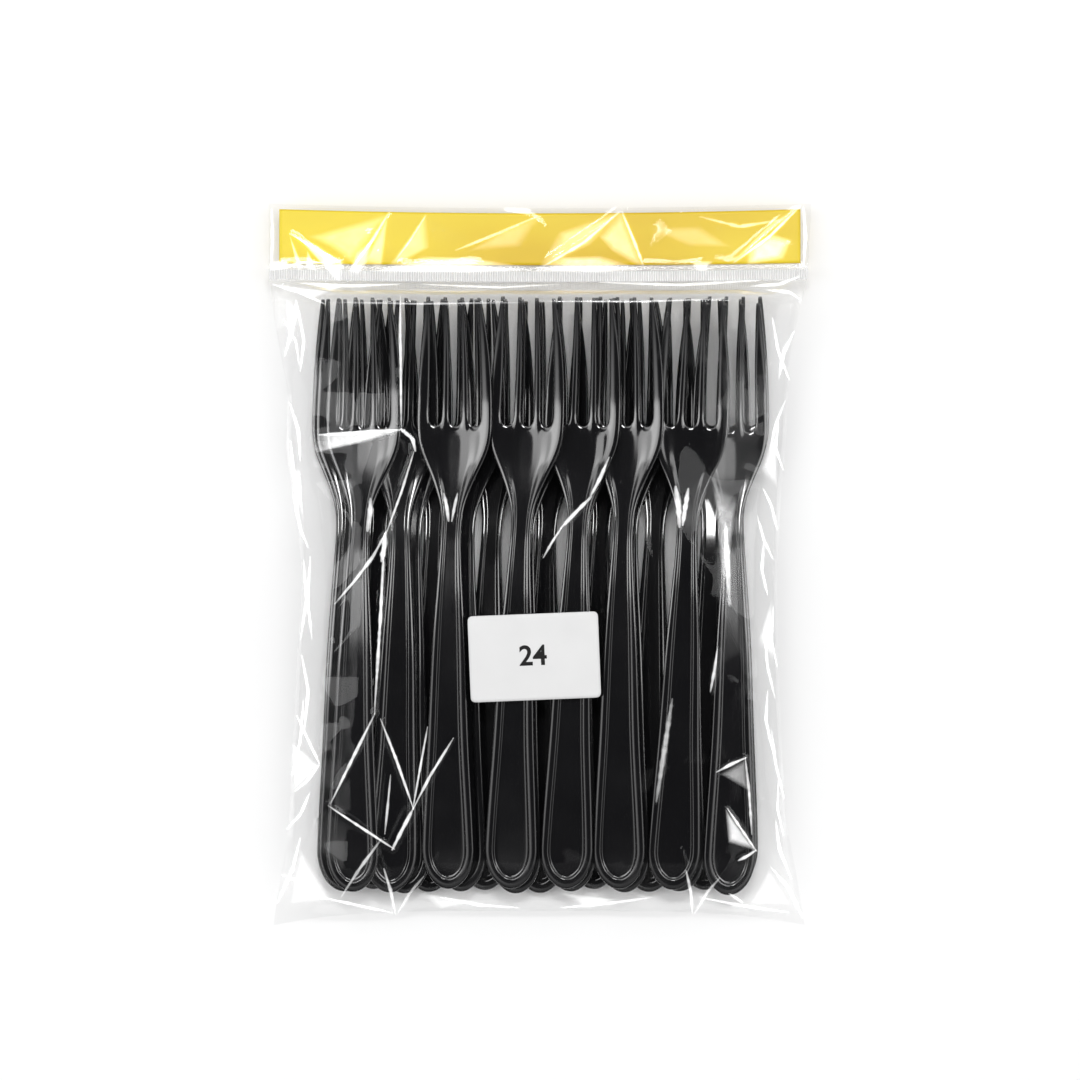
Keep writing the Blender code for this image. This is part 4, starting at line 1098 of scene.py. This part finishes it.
def painted_glint_line(bm, layer, places, width, white, picker):
    """A painted highlight line that narrows and fades to its ends and its sides."""
    ends = [Vector(at(*p)) for p in places]
    lengths = [(b - a).length for a, b in zip(ends, ends[1:])]
    whole = sum(lengths)
    count = max(int(whole / GLINT_STEP), GLINT_FEWEST)
    rows = []
    for i in range(count + 1):
        share = i / count
        left = share * whole
        for a, b, length in zip(ends, ends[1:], lengths):
            if left <= length or b is ends[-1]:
                break
            left -= length
        middle = a.lerp(b, min(left / length, 1.0))
        across_it = (b - a).normalized().orthogonal()
        swell = math.sin(math.pi * min(max(share, 0.02), 0.98)) ** 0.6
        fading = GLINT_END + (1 - GLINT_END) * swell
        half = PIXEL / 2 * width * fading * picker.uniform(*GLINT_WIDTHS)
        shine = white * fading * picker.uniform(*GLINT_SHINES)
        row = []
        for side, part in ((-1, 0.0), (-GLINT_CORE, shine), (GLINT_CORE, shine), (1, 0.0)):
            vert = bm.verts.new((*(middle + side * half * across_it), 0.0))
            vert[layer] = part
            row.append(vert)
        rows.append(row)
    for low, high in zip(rows, rows[1:]):
        for k in (0, 1, 2):
            bm.faces.new((low[k], low[k + 1], high[k + 1], high[k]))


def painted_glint_patch(bm, layer, places, white):
    """A painted highlight facet that fades over its edges."""
    corners = [Vector(at(*p)) for p in places]
    middle = sum(corners, Vector((0.0, 0.0))) / len(corners)
    rings = []
    for share, part in GLINT_PATCH_RINGS:
        ring = []
        for corner in corners if share else corners[:1]:
            vert = bm.verts.new((*middle.lerp(corner, share), 0.0))
            vert[layer] = white * part
            ring.append(vert)
        rings.append(ring)
    centre, inner, outer = rings
    for i in range(len(corners)):
        j = (i + 1) % len(corners)
        bm.faces.new((centre[0], inner[i], inner[j]))
        bm.faces.new((inner[i], outer[i], outer[j], inner[j]))


def cut_fine(bm, longest, times):
    """Cuts the edges that are longer than given, so that the faces can follow a surface."""
    bmesh.ops.triangulate(bm, faces=bm.faces)
    for step in range(times):
        long = [e for e in bm.edges if e.calc_length() > longest]
        if not long:
            break
        bmesh.ops.subdivide_edges(bm, edges=long, cuts=1)
        bmesh.ops.triangulate(bm, faces=bm.faces)


def add_painted_glints(skin):
    """All the painted highlights of folds and facets, each cut fine enough to follow the film."""
    bm = bmesh.new()
    layer = bm.verts.layers.float.new("glint")
    picker = random.Random(3)
    for places, width, white in PAINTED_GLINT_LINES:
        painted_glint_line(bm, layer, places, width, white, picker)
    for places, white in PAINTED_GLINT_PATCHES:
        painted_glint_patch(bm, layer, places, white)
    cut_fine(bm, GLINT_EDGE, 6)
    for vert in bm.verts:
        vert.co = on_skin(skin, vert.co.x, vert.co.y, GLINT_LIFT)
    mesh = bpy.data.meshes.new("film_painted_glints")
    bm.to_mesh(mesh)
    bm.free()
    made = link("film_painted_glints", mesh)
    made.data.materials.append(painted_glint_film())
    shade(made)
    keep(made, "clear_film")


def thicken(obj, thickness):
    """Gives a sheet its wall, upward."""
    wall = obj.modifiers.new("wall", "SOLIDIFY")
    wall.thickness = thickness * MM
    wall.offset = 1.0
    apply_all(obj)


def add_strip():
    """The coloured strip in the header, a little wavy."""
    tree = surface_of(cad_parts["header_strip"])
    low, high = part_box("header_strip")

    def place(u, v):
        x = (low.x + u * (high.x - low.x)) / MM
        y_low = bowed(x, SEAL_TOP + STRIP_FOOT_MARGIN)
        y_high = bowed(x, HALF_LENGTH - STRIP_TOP_MARGIN)
        y = y_low + v * (y_high - y_low)
        inside = min(max(y, y_low + 0.1), y_high - 0.1)
        hit = tree.ray_cast(Vector((x * 0.99, inside, FAR)), DOWN)[0]
        z = hit.z if hit is not None else high.z / MM
        return x, y, z - STRIP_WALL + STRIP_WAVE * math.sin(x / 11) * math.sin(v * 3)

    strip = sheet("card_strip", STRIP_GRID, points_of(STRIP_GRID, place))
    thicken(strip, STRIP_WALL)
    shade(strip)
    strip.data.materials.append(yellow_card())
    keep(strip, "yellow_card", "header_strip")


def turned(x, y, middle):
    """A place on the label, which is stuck on a little askew."""
    turn = math.radians(LABEL_TURN)
    return (middle[0] + x * math.cos(turn) - y * math.sin(turn),
            middle[1] + x * math.sin(turn) + y * math.cos(turn))


def add_label(skin):
    """The label with its rounded corners, on the film. Gives its surface."""
    corner_x = LABEL_WIDTH / 2 - LABEL_CORNER
    corner_y = LABEL_HEIGHT / 2 - LABEL_CORNER

    def place(u, v):
        x, y = (u - 0.5) * LABEL_WIDTH, (v - 0.5) * LABEL_HEIGHT
        out_x, out_y = max(abs(x) - corner_x, 0), max(abs(y) - corner_y, 0)
        if out_x > 0 and out_y > 0:
            reach = max(out_x, out_y) / math.hypot(out_x, out_y)
            x = math.copysign(corner_x + out_x * reach, x)
            y = math.copysign(corner_y + out_y * reach, y)
        return (*turned(x, y, LABEL_AT), 0)

    points = points_of(LABEL_GRID, place)
    heights = np.array([[on_skin(skin, x, y, 0.0).z / MM for x, y, z in row] for row in points])
    points[..., 2] = blurred(heights, LABEL_AVERAGED) + LABEL_LIFT
    label = sheet("paper_label", LABEL_GRID, points)
    thicken(label, LABEL_WALL)
    shade(label)
    white = paper("white label", (0.70, 0.70, 0.70, 1), (0.76, 0.76, 0.76, 1))
    label.data.materials.append(white)
    keep(label, "white_label", "label")
    return surface_of(label)


def add_number(label_surface):
    """The plain number printed on the label."""
    fresh("label_number", bpy.ops.object.text_add)
    text = bpy.context.object.data
    text.body = NUMBER
    text.size = NUMBER_SIZE * MM
    text.align_x = "CENTER"
    text.align_y = "CENTER"
    text.offset = NUMBER_WEIGHT * MM
    text.resolution_u = 6
    bpy.ops.object.convert(target="MESH")
    digits = bpy.context.object
    bm = bmesh.new()
    bm.from_mesh(digits.data)
    cut_fine(bm, NUMBER_EDGE * MM, 3)
    for vert in bm.verts:
        x, y = turned(vert.co.x / MM, vert.co.y / MM, at(*NUMBER_AT))
        hit = label_surface.ray_cast(Vector((x, y, FAR)), DOWN)[0]
        vert.co = Vector((x, y, hit.z + NUMBER_LIFT)) * MM
    bm.to_mesh(digits.data)
    bm.free()
    digits.data.materials.clear()
    digits.data.materials.append(paper("black ink", (0.012, 0.012, 0.012, 1), (0.02, 0.02, 0.02, 1)))
    keep(digits, "white_label")


def add_tape():
    """The tape that holds the flap on the back, slightly uneven."""
    low, high = (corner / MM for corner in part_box("closure_tape"))

    def place(u, v):
        return (low.x + u * (high.x - low.x), low.y + v * (high.y - low.y),
                high.z + TAPE_WAVE * math.sin(u * 40) * math.sin(v * 7))

    tape = sheet("flap_tape", TAPE_GRID, points_of(TAPE_GRID, place))
    shade(tape)
    tape.data.materials.append(clear_tape())
    keep(tape, "clear_tape", "closure_tape")


# Stage, light and camera

def add_floor():
    """The white ground under the pack."""
    floor = fresh("floor", bpy.ops.mesh.primitive_plane_add, size=6.0, location=(0, 0, -0.0003))
    look = Shader("floor")
    white = look.node("BsdfDiffuse", {"Color": (0.93, 0.93, 0.93, 1)})
    floor.data.materials.append(look.finish(white.outputs[0]))


def add_lamp(name, place, size, power):
    """A lamp that shines on the middle of the pack."""
    light = bpy.data.lights.new(name, "AREA")
    light.shape = "RECTANGLE"
    light.size, light.size_y = size
    light.energy = power
    made = link(name, light)
    made.location = place
    made.rotation_euler = (-Vector(place)).to_track_quat("-Z", "Y").to_euler()


def add_surroundings():
    """Even light from all round, and for reflections a bright ring that is dimmer in front."""
    studio = Shader("studio", world=True)
    way = studio.node("SeparateXYZ", {0: studio.node("TexCoord").outputs["Generated"]})
    ring = studio.node("FloatCurve", {"Value": way.outputs["Z"]})
    line = ring.mapping.curves[0]
    line.points[0].location = (0.0, 0.12)
    line.points[1].location = (1.0, 0.008)
    for height, strength in RING:
        line.points.new(height, strength)
    for point in line.points:
        point.handle_type = "VECTOR"
    ring.mapping.update()
    front = studio.node("MapRange", {0: way.outputs["Y"], 1: -0.6, 2: 0.05, 3: 0.12, 4: 1.0})
    bright = studio.math("MULTIPLY", ring.outputs[0], RING_STRENGTH)
    bright = studio.math("MULTIPLY", bright, front.outputs[0])
    plain = studio.node("Background", {0: (1, 1, 1, 1), 1: EVEN_STRENGTH})
    shiny = studio.node("Background", {0: (1, 1, 1, 1), 1: bright})
    reflected = studio.node("LightPath").outputs["Is Glossy Ray"]
    whole = studio.node("MixShader", {0: reflected, 1: plain.outputs[0], 2: shiny.outputs[0]})
    bpy.context.scene.world = studio.finish(whole.outputs[0])


def add_camera():
    """A camera straight above, which sees the same field as the picture."""
    camera = link("camera", bpy.data.cameras.new("camera"))
    middle_x, middle_y = at(PICTURE / 2, PICTURE / 2)
    camera.location = (middle_x * MM, middle_y * MM, CAMERA_HEIGHT)
    camera.data.sensor_width = SENSOR
    camera.data.lens = SENSOR * (CAMERA_HEIGHT - SIGHT_HEIGHT) / (PICTURE * PIXEL * MM)
    camera.data.clip_end = 20.0
    bpy.context.scene.camera = camera
    bpy.context.scene.view_settings.view_transform = "Standard"


lay_forks()
skin = wrap_in_film()
add_painted_glints(skin)
add_strip()
add_number(add_label(skin))
add_tape()
add_floor()
add_lamp("key", (0.04, 0.52, 1.25), (0.4, 0.2), 5.0)
add_lamp("left", (-0.8, 0.05, 0.72), (0.3, 1.1), 3.0)
add_lamp("right", (0.8, 0.05, 0.72), (0.3, 1.1), 2.5)
add_surroundings()
add_camera()
